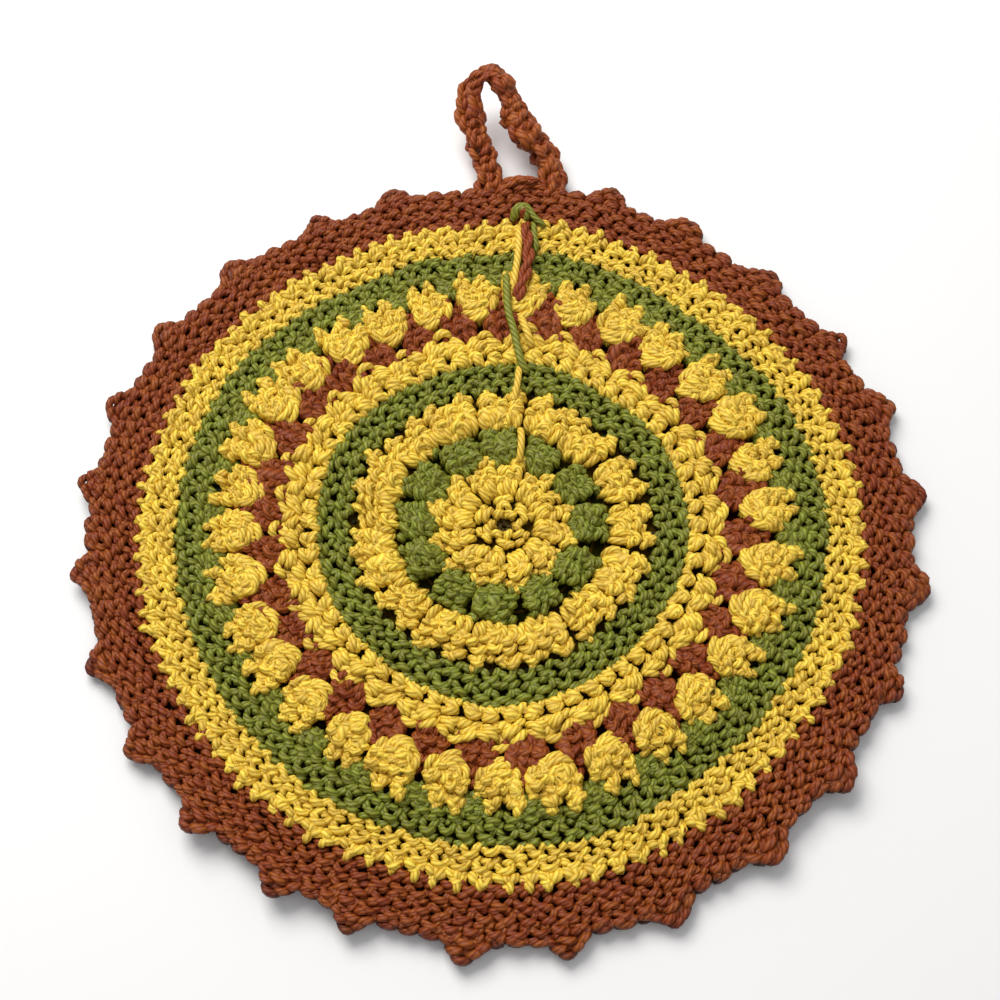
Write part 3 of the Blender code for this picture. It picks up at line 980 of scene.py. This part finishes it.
def loosen(mesh: bpy.types.Mesh) -> None:
    """Moves the work a little off its true circles, alike for all pieces, and presses it flat on the table.

    Args:
        mesh: a piece's mesh.
    """
    noise.seed_set(LOOSE_SEED)
    for vertex in mesh.vertices:
        x, y, z = vertex.co / MM
        slow = noise.noise_vector(Vector((x / SLOW_SPAN, y / SLOW_SPAN, 3.7)))
        quick = noise.noise_vector(Vector((x / QUICK_SPAN, y / QUICK_SPAN, 9.1)))
        lift = TOP_REACH * min(max(z - TOP_START, 0.0), 1.0)
        radius = max(math.hypot(x, y), 0.1)
        drift = ring_drift(math.degrees(math.atan2(x, y))) * min(radius / FULL_DRIFT_RADIUS, 1.0) / radius
        vertex.co += Vector((
            SLOW_REACH * slow.x + QUICK_REACH * quick.x + drift * x,
            SLOW_REACH * slow.y + QUICK_REACH * quick.y + drift * y,
            lift * (slow.z + quick.z),
        )) * MM
        vertex.co.z = max(vertex.co.z, 0.0)


# Painted shade and light by depth: depth in millimetres of the middle of the work, and how far from it
# the painted shade ends and the painted light fully comes; cords get a little more painted light
DEEP_LEVEL = 1.2
DARK_REACH = 0.3
LIGHT_SPAN = 1.3
CORD_LIGHT = 1.15


def note_painted_light_by_depth(mesh: bpy.types.Mesh, flat: bool) -> None:
    """Stores painted light and shade: how far each point lies from the deep of the work, where its colour is
    darkened.

    Args:
        mesh: the piece's mesh, before its rim is curled.
        flat: whether it is part of the flat work; a cord lies all in the open and gets a little more painted
            light.
    """
    layer = mesh.attributes.new("open_air", "FLOAT", "POINT")
    for vertex, row in zip(mesh.vertices, layer.data):
        reach = (abs(vertex.co.z / MM - DEEP_LEVEL) - DARK_REACH) / LIGHT_SPAN
        row.value = min(max(reach, 0.0), 1.0) if flat else CORD_LIGHT


def finish_piece(name: str, mesh: bpy.types.Mesh, yarn: Yarn, *nodes: str) -> bpy.types.Object:
    """Dresses a mesh in its yarn and places it on the part's one body.

    Args:
        name: the piece's name.
        mesh: its mesh.
        yarn: what it is worked in.
        nodes: the solids that it stands for.

    Returns:
        The piece.
    """
    mesh.name = name
    # Painted shade and light by depth in the work
    if "open_air" not in mesh.attributes:
        note_painted_light_by_depth(mesh, "mat" in nodes)
    if "mat" in nodes or "picot_edging" in nodes:
        loosen(mesh)
    for label in ("habit", "turn", "along"):
        if label in mesh.attributes:
            mesh.attributes.remove(mesh.attributes[label])
    mesh.shade_smooth()
    mesh.materials.clear()
    mesh.materials.append(yarn.material(packed=name.startswith("packed")))
    piece = bpy.data.objects.new(name, mesh)
    bpy.context.scene.collection.objects.link(piece)
    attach(piece, "root")
    if nodes:
        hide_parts(*nodes)
    LOG.info("%s: %d faces", name, len(mesh.polygons))
    return piece


# How far the rounds crowd towards one side, and the height in millimetres of their middle
LEAN = math.radians(3.0)
MIDDLE = 1.66
RIM_LEVEL = MIDDLE - 0.15


@dataclass(frozen=True)
class PlainRound:
    """A round of plain stitches.

    Args:
        start: radius at which it starts, in millimetres.
        height: its height outwards.
        stitches: how many stitches it has.
        phase: angle of the first, in degrees.
        teeth: whether each stitch ends in a pointed loop.
    """

    start: float
    height: float
    stitches: int
    phase: float = 0.0
    teeth: bool = False


@dataclass(frozen=True)
class Band:
    """A round of clusters.

    Args:
        cluster: the cluster.
        start: radius at which the round starts, in millimetres.
        clusters: how many there are.
        phase: angle of the first, in degrees.
        level: how much higher it lies than the plain rounds.
    """

    cluster: Cluster
    start: float
    clusters: int
    phase: float
    level: float = 0.0


def work_plain_rounds(work: Work, rounds: tuple[PlainRound, ...], kinds: list[StitchKind]) -> None:
    """Adds plain rounds to a piece of work.

    Args:
        work: the piece.
        rounds: the rounds, from the inside out.
        kinds: where each new kind of stitch is noted.
    """
    for number, row in enumerate(rounds):
        width = 2.0 * math.pi * (row.start + row.height / 2.0) / row.stitches
        kind = plain_kind(f"{work.name}_round_{number}", width, row.height, TEETH if row.teeth else ())
        kind.build()
        kinds.append(kind)
        work.add(
            work_in_the_round(), kind, Stitches=row.stitches, Radius=row.start * MM,
            Phase=math.radians(row.phase), Lean=LEAN, Height=MIDDLE * MM,
        )


def work_band(work: Work, band: Band, kinds: list[StitchKind]) -> None:
    """Adds a round of clusters to a piece of work.

    Args:
        work: the piece.
        band: the round.
        kinds: where the new kind of stitch is noted.
    """
    kind = band.cluster.kind()
    kind.build()
    kinds.append(kind)
    work.add(
        work_in_the_round(), kind, Stitches=band.clusters, Radius=band.start * MM,
        Phase=math.radians(band.phase), Lean=LEAN, Height=(MIDDLE + band.level) * MM,
        Sway=0.1, Swell=0.05, Turn_Spread=0.055, Place_Spread=0.16 * MM,
    )


# Packed yarn under the stitches, by radius: one yellow disc, with rings of the other colours round it
PACKED_RINGS = (
    (0.0, 59.2, Tint.YELLOW), (9.9, 15.6, Tint.GREEN), (22.3, 27.6, Tint.GREEN), (28.8, 40.4, Tint.RUST),
    (40.4, 47.6, Tint.GREEN), (52.3, 59.4, Tint.RUST),
)
PACKED_TOP = 1.15
PACKED_UNDER = 0.85
# Painted shade on the packed yarn, which lies deep under the stitches
PACKED_PAINTED_SHADE = 0.6
GROOVE = 0.9
GROOVE_DEPTH = 0.2
YARN_GIRTH = 3.4


def add_ring(bm: bmesh.types.BMesh, start: float, end: float, cover: float) -> None:
    """Adds a flat ring of packed yarn to a mesh, with shallow grooves.

    Args:
        bm: the mesh.
        start: its inner radius in millimetres, nothing for a disc.
        end: its outer radius.
        cover: how far it stands out above and below the yellow disc.
    """
    uv, end_shade_layer = data_layers(bm)
    steps = 180
    grooves = max(2, round((end - start) / GROOVE))
    profile = []
    for number in range(grooves + 1):
        ridge = GROOVE_DEPTH * (number % 2)
        profile.append((start + (end - start) * number / grooves, PACKED_TOP + cover + ridge))
    profile += [(end, PACKED_UNDER - cover), (start, PACKED_UNDER - cover)]
    rings = []
    for radius, height in profile:
        if radius < 0.01:
            rings.append([bm.verts.new((0.0, 0.0, height * MM))] * steps)
            continue
        ring = []
        for step in range(steps):
            turn = 2.0 * math.pi * step / steps
            corner = bm.verts.new(Vector((radius * math.sin(turn), radius * math.cos(turn), height)) * MM)
            corner[end_shade_layer] = PACKED_PAINTED_SHADE
            ring.append(corner)
        rings.append(ring)
    for number, ring in enumerate(rings):
        after = rings[(number + 1) % len(rings)]
        radius = profile[number][0]
        for step in range(steps):
            corners = (ring[step], after[step], after[(step + 1) % steps], ring[(step + 1) % steps])
            distinct = list(dict.fromkeys(corners))
            if len(distinct) < 3:
                continue
            face = bm.faces.new(distinct)
            for loop in face.loops:
                loop[uv].uv = (radius * step * 2.0 * math.pi / steps, radius / YARN_GIRTH)


@dataclass
class Mat:
    """The round mat: its packed middle and the stitches of every band."""

    kinds: list[StitchKind] = field(default_factory=list)
    cover: float = 0.12
    centre: tuple[PlainRound, ...] = (PlainRound(0.9, 3.4, 6),)
    green_inner: tuple[PlainRound, ...] = (
        PlainRound(22.2, 2.6, 56),
        PlainRound(24.8, 2.6, 56, phase=2.0),
    )
    green_outer: tuple[PlainRound, ...] = (
        PlainRound(42.5, 2.6, 104),
        PlainRound(45.0, 2.5, 104, phase=1.2),
    )
    yellow_outer: tuple[PlainRound, ...] = (
        PlainRound(47.3, 2.4, 108),
        PlainRound(49.6, 2.2, 108, phase=1.4, teeth=True),
    )
    bands: tuple[tuple[str, Tint, Band], ...] = (
        ("yellow_ring", Tint.YELLOW, Band(Cluster(
            "ring_stitch", (-0.6, 0.6), (-1.3, 1.3), 2.3, 6.2, narrow=0.5, crown=0.4, teeth=(0,),
            stitches=(LONG_STITCH,), reach=(1.0, 0.92),
        ), 4.0, 12, 22.0)),
        ("green_knobs", Tint.GREEN, Band(Cluster(
            "green_knob", (-1.1, 0.0, 1.1), (-1.75, 0.0, 1.75), 2.2, 6.2, narrow=0.8, crown=0.9, dome=0.08,
        ), 9.2, 12, 0.0)),
        ("yellow_fans_inner", Tint.YELLOW, Band(Cluster(
            "yellow_fan_small", (-1.3, 0.0, 1.3), (-2.3, 0.0, 2.3), 2.6, 6.4, narrow=0.75, crown=0.6,
            dome=0.1, teeth=(0, 2), stitches=(LONG_STITCH, STACKED_STITCH, LONG_STITCH),
        ), 14.9, 16, 0.0)),
        ("yellow_knobs", Tint.YELLOW, Band(Cluster(
            "yellow_knob", (-1.35, 1.45), (-1.55, 1.6), 2.85, 3.7, narrow=1.0, crown=0.35, dome=0.0,
            stitches=(PLAIN_STITCH,), hem=KNOB_ARCH,
        ), 27.1, 32, 6.5)),
        ("rust_knobs", Tint.RUST, Band(Cluster(
            "rust_knob", (-0.9, 0.0, 0.9), (-2.0, 0.0, 2.0), 2.3, 8.5, narrow=0.65, crown=0.35, dome=0.05,
        ), 31.2, 32, 0.9, level=-0.05)),
        ("yellow_fans", Tint.YELLOW, Band(Cluster(
            "yellow_fan", (-1.0, -0.4, 0.3, 0.9), (-2.0, -0.5, 1.1, 2.65), 1.9, 7.2, narrow=0.75, crown=0.7,
            dome=0.14, teeth=(0, 2), stitches=(LONG_STITCH, STACKED_STITCH, STACKED_STITCH, LONG_STITCH),
            hem=FAN_HEM, reach=(1.0, 0.96, 0.98, 0.84),
        ), 35.2, 32, 6.5, level=0.35)),
    )
    dips: Band = Band(Cluster(
        "green_dip", (-0.9, 0.0, 0.9), (-1.3, 0.0, 1.3), 1.6, 3.4, narrow=0.8, crown=0.1,
    ), 40.2, 32, 0.9, level=-0.1)

    def middle(self) -> list[bpy.types.Object]:
        """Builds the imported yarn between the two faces, one thin ring of cloth for each stretch of a colour.

        Returns:
            One piece for each colour.
        """
        pieces = []
        for tint in Tint:
            bm = bmesh.new()
            for start, end, colour in PACKED_RINGS:
                if colour is tint:
                    add_ring(bm, start, end, 0.0 if tint is Tint.YELLOW else self.cover)
            bmesh.ops.recalc_face_normals(bm, faces=bm.faces)
            mesh = bpy.data.meshes.new(f"packed_{tint.name.lower()}")
            bm.to_mesh(mesh)
            bm.free()
            curl_rim(mesh)
            pieces.append(finish_piece(mesh.name, mesh, YARNS[tint], "mat"))
        return pieces

    def build(self) -> list[bpy.types.Object]:
        """Builds every band of the mat.

        Returns:
            The pieces.
        """
        pieces = []
        for name, tint, rounds in (
            ("yellow_centre", Tint.YELLOW, self.centre),
            ("green_rounds_inner", Tint.GREEN, self.green_inner),
            ("green_rounds_outer", Tint.GREEN, self.green_outer),
            ("yellow_rounds_outer", Tint.YELLOW, self.yellow_outer),
        ):
            work = Work(name, YARNS[tint], seed=len(pieces))
            work_plain_rounds(work, rounds, self.kinds)
            if rounds is self.green_outer:
                work_band(work, self.dips, self.kinds)
            pieces.append(work.finish("mat"))
        for name, tint, band in self.bands:
            work = Work(name, YARNS[tint], seed=20 + len(pieces))
            work_band(work, band, self.kinds)
            pieces.append(work.finish("mat"))
        return pieces


PICOT = (
    twine("root_left", (-340, -60, -20), (-290, 20, 75), (-210, 90, 85), (-140, 110, 10), thickness=1.15),
    twine("root_right", (340, -70, -20), (290, 10, 75), (200, 80, 85), (140, 110, 10), thickness=1.15),
    twine("middle", (-160, -10, 20), (-80, 50, 115), (40, 60, 120), (150, 10, 30), thickness=1.15),
    twine("left_bead", (-240, 100, 10), (-180, 160, 80), (-90, 200, 75), (-20, 190, 10), thickness=1.15),
    twine("right_bead", (10, 110, 30), (90, 160, 95), (160, 170, 75), (240, 110, 10), thickness=1.15),
    twine("tip", (-130, 200, 10), (-40, 250, 50), (70, 250, 40), (160, 190, 10), thickness=1.15),
    twine("near_leg", (-270, -30, -30), (-190, 90, -85), (-80, 170, -80), (10, 190, -30)),
    twine("far_leg", (270, -30, -30), (190, 80, -85), (90, 160, -80), (0, 190, -30)),
    twine("heart", (-240, -10, 0), (-100, 100, 0), (100, 100, 0), (240, -10, 0), thickness=2.1),
)

PICOT_ANGLES = (
    -177.0, -162.5, -152.0, -138.5, -126.0, -113.0, -99.5, -86.0, -73.5, -60.0, -46.0, -31.0, -18.5,
    15.0, 28.0, 42.5, 56.5, 69.0, 83.0, 97.0, 112.5, 127.5, 141.0, 156.0, 170.0,
)

# Stretches of the rim that curl up: angle, half width in degrees, height
RIM_LIFTS = ((-148.0, 26.0, 1.1), (-92.0, 18.0, 0.5), (132.0, 22.0, 0.8))
LIFT_START = 53.5
LIFT_SPAN = 6.5
LIFT_LIMIT = 1.3


def curl_rim(mesh: bpy.types.Mesh) -> None:
    """Lifts the rim's stitches where the edging has curled up off the table.

    Args:
        mesh: a piece's mesh.
    """
    # Painted shade by depth is noted before the rim is lifted
    note_painted_light_by_depth(mesh, True)
    for vertex in mesh.vertices:
        radius = math.hypot(vertex.co.x, vertex.co.y) / MM
        outward = min(max((radius - LIFT_START) / LIFT_SPAN, 0.0), LIFT_LIMIT)
        if not outward:
            continue
        angle = math.degrees(math.atan2(vertex.co.x, vertex.co.y))
        for middle, width, height in RIM_LIFTS:
            away = abs((angle - middle + 180.0) % 360.0 - 180.0) / width
            if away < 1.0:
                vertex.co.z += height * MM * (0.5 + 0.5 * math.cos(math.pi * away)) * outward * outward


@dataclass
class Edging:
    """The rust edging: four plain rounds and the picots of the last."""

    kinds: list[StitchKind] = field(default_factory=list)
    rounds: tuple[PlainRound, ...] = (
        PlainRound(51.8, 2.5, 108, phase=3.07),
        PlainRound(54.3, 2.0, 126, phase=1.1),
        PlainRound(56.3, 1.95, 128, phase=0.3),
        PlainRound(58.1, 1.75, 130, phase=1.6),
    )
    link_width: float = 2.9
    picot_radius: float = 59.9

    def close_rim(self, work: Work) -> None:
        """Adds the links that close the last round's outer edge."""
        last = self.rounds[-1]
        strands = []
        for strand in RIM_LINKS:
            places = tuple((x * self.link_width, y * last.height, z) for x, y, z in strand.places)
            strands.append(Strand(strand.name, places))
        kind = StitchKind("rim_link", strands)
        kind.build()
        self.kinds.append(kind)
        work.add(
            work_in_the_round(), kind, Stitches=last.stitches, Radius=last.start * MM,
            Phase=math.radians(last.phase), Lean=LEAN, Height=RIM_LEVEL * MM,
        )

    def build(self) -> list[bpy.types.Object]:
        """Builds the edging.

        Returns:
            Its pieces.
        """
        yarn = YARNS[Tint.RUST]
        pieces = []
        for name, rounds in (("edging_inner", self.rounds[:2]), ("edging_outer", self.rounds[2:])):
            work = Work(name, yarn, seed=50 + len(pieces) * 5)
            work_plain_rounds(work, rounds, self.kinds)
            if rounds[-1] is self.rounds[-1]:
                self.close_rim(work)
            mesh = work.mesh()
            curl_rim(mesh)
            pieces.append(finish_piece(name, mesh, yarn, "picot_edging"))
        return pieces + [self.picots(yarn)]

    def picots(self, yarn: Yarn) -> bpy.types.Object:
        """Builds the picots at their places on the rim.

        Args:
            yarn: what they are worked in.

        Returns:
            The piece.
        """
        kind = StitchKind("picot", list(PICOT))
        kind.build()
        self.kinds.append(kind)
        mesh = bpy.data.meshes.new("picots")
        radius = self.picot_radius * MM
        turns = [math.radians(angle) for angle in PICOT_ANGLES]
        places = [(radius * math.sin(turn), radius * math.cos(turn), RIM_LEVEL * MM) for turn in turns]
        mesh.from_pydata(places, [], [])
        mesh.attributes.new("turn", "FLOAT", "POINT").data.foreach_set("value", turns)
        carrier = bpy.data.objects.new("picots", mesh)
        bpy.context.scene.collection.objects.link(carrier)
        work = Work("picots", yarn, seed=70, carrier=carrier)
        work.add(set_at_places(), kind, Swell=0.1)
        shaped = work.mesh()
        curl_rim(shaped)
        return finish_piece("picots", shaped, yarn, "picot_edging")


LOOP_ROUTE = (
    (-3.6, 60.0, 1.9), (-4.0, 63.2, 2.3), (-5.6, 67.3, 3.4), (-7.2, 71.2, 4.9), (-7.8, 74.8, 6.6),
    (-7.3, 76.9, 7.8), (-6.1, 78.4, 8.6), (-4.6, 78.7, 9.0), (-3.1, 78.0, 8.9), (-2.0, 75.8, 8.2),
    (-0.9, 73.2, 7.0), (0.6, 70.7, 5.8), (2.4, 68.7, 4.8), (4.1, 67.1, 3.9), (5.4, 65.4, 3.1),
    (6.2, 63.5, 2.4), (6.5, 60.4, 1.9),
)

# How wide the loop's cord is, from its left foot to its right foot, as a share of its usual width
LOOP_WIDTHS = (0.95, 1.0, 1.1, 1.0, 0.95, 0.85, 0.72, 0.72, 0.95, 1.1, 1.2, 1.2, 1.1, 0.95, 0.9)

# The stitches between the loop's feet, which stand out past the rim
FOOT_ROUTE = ((-3.2, 60.0, 2.0), (-1.2, 60.7, 2.5), (1.2, 61.1, 2.9), (3.2, 61.3, 3.0), (5.4, 60.6, 2.2))
FOOT_WIDTHS = (0.55, 0.7, 0.8, 0.75, 0.6)

# Which way a cord's face is turned
CORD_UP = (0.0, 0.4, 0.9)

CORD_STITCH = (
    twine(
        "left_link", (-70, -70, -20), (-145, -10, 35), (-162, 90, 50), (-140, 180, 40), (-70, 240, -10),
        thickness=1.1,
    ),
    twine(
        "right_link", (70, -80, -20), (140, -20, 35), (162, 80, 50), (140, 170, 40), (70, 230, -10),
        thickness=1.1,
    ),
    twine("over_left", (-120, -30, 30), (-80, 40, 100), (-30, 100, 110), (30, 140, 30), thickness=1.1),
    twine("over_right", (-10, 50, 30), (50, 90, 110), (90, 150, 90), (120, 210, 10), thickness=1.1),
    twine("near_leg", (-20, -40, -30), (-100, 30, -80), (-130, 120, -80), (-40, 210, -40)),
    twine("far_leg", (20, -40, -30), (100, 30, -85), (130, 110, -80), (50, 200, -40)),
    twine("heart", (0, -80, 0), (0, 100, 0), (0, 280, 0), thickness=2.5),
)


@dataclass
class HangingLoop:
    """The hanging loop: a cord of stitches that rises from the rim and comes back."""

    kinds: list[StitchKind] = field(default_factory=list)

    def build(self) -> list[bpy.types.Object]:
        """Builds the loop's cord and the stitches between its feet.

        Returns:
            The two pieces.
        """
        kind = StitchKind("cord_stitch", list(CORD_STITCH), sides=8, variants=5)
        kind.build()
        self.kinds.append(kind)
        return [
            self.cord("loop_cord", LOOP_ROUTE, LOOP_WIDTHS, 29),
            self.cord("loop_foot", FOOT_ROUTE, FOOT_WIDTHS, 6),
        ]

    def cord(
        self, name: str, places: tuple[Place, ...], widths: tuple[float, ...], stitches: int,
    ) -> bpy.types.Object:
        """Builds one cord along its places.

        Args:
            name: the piece's name.
            places: the cord's middle line.
            widths: its width along the line, as a share of the usual width.
            stitches: how many stitches it has.

        Returns:
            The piece.
        """
        route = smooth_path([Vector(place) * MM for place in places], 90)
        bm = bmesh.new()
        line = [bm.verts.new(place) for place in route]
        for pair in zip(line, line[1:]):
            bm.edges.new(pair)
        work = Work(name, YARNS[Tint.RUST], seed=90, carrier=mesh_object(name, bm))
        work.add(
            work_along_a_cord(), self.kinds[0], Stitches=stitches, Turn_Spread=0.26, Place_Spread=0.26 * MM,
            Swell=0.14, Size_Spread=0.12,
        )
        mesh = work.mesh()
        self.fit_width(mesh, route, widths)
        return finish_piece(name, mesh, work.yarn, "hanging_loop")

    @staticmethod
    def fit_width(mesh: bpy.types.Mesh, route: list[Vector], widths: tuple[float, ...]) -> None:
        """Draws a cord in or lets it out along its line, and keeps it above the table.

        Args:
            mesh: the cord's mesh.
            route: the cord's middle line, evenly spaced.
            widths: its width along the line, as a share of the usual width.
        """
        for vertex in mesh.vertices:
            nearest = min(range(len(route)), key=lambda number: (route[number] - vertex.co).length_squared)
            share = nearest / (len(route) - 1) * (len(widths) - 1)
            start = min(int(share), len(widths) - 2)
            width = widths[start] + (widths[start + 1] - widths[start]) * (share - start)
            vertex.co = route[nearest] + (vertex.co - route[nearest]) * width
            vertex.co.z = max(vertex.co.z, 0.0)


@dataclass(frozen=True)
class Tail:
    """A run of yarn over the face at the join.

    Args:
        node: the solid that it stands for.
        tint: which yarn it is.
        runs: the places of each stretch that shows.
        yarns: how many yarns are wound together in it.
        radius: radius of one yarn in millimetres.
    """

    node: str
    tint: Tint
    runs: tuple[tuple[Place, ...], ...]
    yarns: int = 1
    radius: float = 0.54


TAILS = (
    Tail("rust_strand", Tint.RUST, ((
        (2.0, 53.2, 2.9), (2.1, 51.9, 3.9), (2.5, 48.6, 4.2), (2.7, 46.0, 4.4), (2.4, 43.7, 4.4),
        (1.9, 41.4, 4.4), (1.4, 39.4, 4.6), (1.1, 37.8, 3.4),
    ), ((1.0, 54.0, 3.4), (1.3, 54.6, 4.5), (2.0, 54.6, 4.6), (2.4, 53.8, 3.4))), yarns=2, radius=0.58),
    Tail("yellow_strand", Tint.YELLOW, ((
        (0.9, 52.6, 2.9), (1.0, 51.1, 3.9), (1.1, 49.4, 4.1), (1.0, 46.5, 4.2), (0.8, 44.0, 4.2),
        (0.5, 41.3, 4.0), (0.4, 40.2, 3.0),
    ), (
        (1.6, 35.4, 3.0), (2.0, 34.6, 3.8), (2.5, 33.1, 4.2), (3.1, 31.5, 4.2), (3.7, 30.1, 3.2),
    )), radius=0.6),
    Tail("green_strand", Tint.GREEN, ((
        (-0.9, 44.0, 2.9), (-0.8, 43.0, 3.6), (-0.7, 41.1, 4.3), (-0.3, 36.1, 4.7), (0.3, 33.8, 4.6),
        (0.8, 32.1, 4.5), (1.4, 29.5, 4.3), (2.0, 27.2, 4.1), (3.1, 25.4, 3.2),
    ),), radius=0.6),
    Tail("yellow_tail", Tint.YELLOW, ((
        (1.8, 26.8, 2.8), (1.7, 24.9, 3.9), (1.5, 22.8, 3.9), (1.0, 20.2, 3.4),
    ),)),
    Tail("yellow_tail_inner", Tint.YELLOW, ((
        (2.2, 15.8, 3.2), (2.4, 14.0, 4.4), (2.4, 12.0, 4.4), (2.2, 10.0, 3.4),
    ),)),
    Tail("green_tail", Tint.GREEN, ((
        (0.1, 53.5, 3.0), (0.0, 54.4, 4.0), (0.4, 55.2, 4.6), (1.2, 55.6, 4.8), (2.1, 55.5, 4.8),
        (2.7, 54.8, 4.6), (3.2, 54.0, 4.4), (3.9, 53.3, 4.2), (4.6, 52.9, 4.0), (5.0, 52.5, 3.2),
    ), (
        (0.5, 53.7, 3.6), (0.6, 54.5, 4.7), (1.1, 54.9, 5.0), (1.8, 54.8, 5.0), (2.2, 54.0, 4.4),
        (2.1, 53.4, 3.6),
    ), (
        (3.2, 53.5, 3.2), (3.4, 52.1, 3.8), (3.5, 50.5, 3.8), (3.8, 48.9, 3.7), (3.7, 47.6, 3.1),
    )), radius=0.5),
)


@dataclass
class Join:
    """The strands that lie over the face at the join of the rounds.

    Args:
        spacing: distance in millimetres between the points of a strand's line.
        turn_points: how many points a double strand takes to wind round once.
        sides: how many sides a strand has.
    """

    spacing: float = 0.5
    turn_points: float = 14.0
    sides: int = 10

    def build(self) -> list[bpy.types.Object]:
        """Builds each strand, the yarns of a double one wound round each other.

        Returns:
            The pieces.
        """
        pieces = []
        for tail in TAILS:
            bm = bmesh.new()
            for run in tail.runs:
                length = sum((Vector(b) - Vector(a)).length for a, b in zip(run, run[1:]))
                count = max(9, round(length / self.spacing))
                path = smooth_path([Vector(place) * MM for place in run], count)
                for yarn in range(tail.yarns):
                    self.wind(bm, path, tail, 2.0 * math.pi * yarn / tail.yarns)
            mesh = bpy.data.meshes.new(tail.node)
            bm.to_mesh(mesh)
            bm.free()
            pieces.append(finish_piece(tail.node + "_yarn", mesh, YARNS[tail.tint], tail.node))
        return pieces

    def wind(self, bm: bmesh.types.BMesh, path: list[Vector], tail: Tail, start: float) -> None:
        """Adds one yarn of a run, wound round the run's middle if it has company.

        Args:
            bm: the mesh.
            path: the run's middle line.
            tail: the run's tail.
            start: the angle at which the yarn starts.
        """
        off = 0.85 * tail.radius * MM if tail.yarns > 1 else 0.0
        wound = []
        for number, place in enumerate(path):
            turn = start + 2.0 * math.pi * number / self.turn_points
            wound.append(place + Vector((math.cos(turn), 0.0, 0.7 * math.sin(turn))) * off)
        radii = [tail.radius * MM] * len(wound)
        radii[0] = radii[-1] = tail.radius * 0.6 * MM
        sweep(bm, wound, radii, self.sides, start)


@dataclass
class Studio:
    """Floor, light and camera, at the photograph's angle to the mat."""

    look_at: Place = (-0.47, 3.82, 3.0)
    distance: float = 248.3
    elevation: float = 64.7
    roll: float = 2.04
    lens: float = 60.05

    def camera(self) -> None:
        """Adds the camera."""
        tilt = math.radians(self.elevation)
        turn = math.radians(self.roll)
        back = Vector((0.0, -math.cos(tilt), math.sin(tilt)))
        right = Vector((1.0, 0.0, 0.0))
        up = back.cross(right)
        across = right * math.cos(turn) + up * math.sin(turn)
        over = up * math.cos(turn) - right * math.sin(turn)
        data = bpy.data.cameras.new("camera")
        data.lens = self.lens
        data.sensor_width = 36.0
        data.clip_start = 0.01
        camera = bpy.data.objects.new("camera", data)
        matrix = Matrix((across, over, back)).transposed().to_4x4()
        matrix.translation = (Vector(self.look_at) + back * self.distance) * MM
        camera.matrix_world = matrix
        bpy.context.scene.collection.objects.link(camera)
        bpy.context.scene.camera = camera

    def light(self, name: str, place: Place, target: Place, size: float, power: float, colour: Place) -> None:
        """Adds a soft square light that faces a target.

        Args:
            name: the light's name.
            place: where it hangs, in millimetres.
            target: what it faces, in millimetres.
            size: its side in millimetres.
            power: its power in watts.
            colour: its colour.
        """
        data = bpy.data.lights.new(name, "AREA")
        data.size = size * MM
        data.energy = power
        data.color = colour
        lamp = bpy.data.objects.new(name, data)
        lamp.location = Vector(place) * MM
        lamp.rotation_euler = (Vector(place) - Vector(target)).to_track_quat("Z", "Y").to_euler()
        bpy.context.scene.collection.objects.link(lamp)

    def build(self) -> None:
        """Adds the floor, the world's light, the lamps and the camera."""
        self.camera()
        bm = bmesh.new()
        bmesh.ops.create_grid(bm, x_segments=1, y_segments=1, size=1.5)
        floor = mesh_object("floor", bm)
        material = bpy.data.materials.new("pale_floor")
        material.use_nodes = True
        shader = material.node_tree.nodes["Principled BSDF"]
        shader.inputs["Base Color"].default_value = (0.92, 0.92, 0.925, 1.0)
        shader.inputs["Roughness"].default_value = 0.6
        floor.data.materials.append(material)
        world = bpy.data.worlds.new("soft_world")
        world.use_nodes = True
        world.node_tree.nodes["Background"].inputs["Color"].default_value = (1.0, 1.0, 1.0, 1.0)
        world.node_tree.nodes["Background"].inputs["Strength"].default_value = 0.38
        bpy.context.scene.world = world
        self.light("window", (-190.0, 280.0, 480.0), (0.0, 0.0, 0.0), 380.0, 3.2, (1.0, 0.98, 0.95))
        self.light("ceiling", (120.0, -60.0, 600.0), (0.0, 0.0, 0.0), 500.0, 0.3, (0.97, 0.98, 1.0))
        bpy.context.scene.view_settings.view_transform = "Standard"


def main() -> None:
    """Builds the studio, then every piece of the pot holder in order."""
    logging.basicConfig(level=logging.INFO, format="%(message)s")
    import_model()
    Studio().build()
    mat = Mat()
    stitched = mat.build()
    packed_yarn = mat.middle()
    edging = Edging()
    stitched += edging.build()
    loop = HangingLoop()
    stitched += loop.build()
    stitched += Join().build()
    for kind in mat.kinds + edging.kinds + loop.kinds:
        kind.clear()


if __name__ == "__main__":
    main()
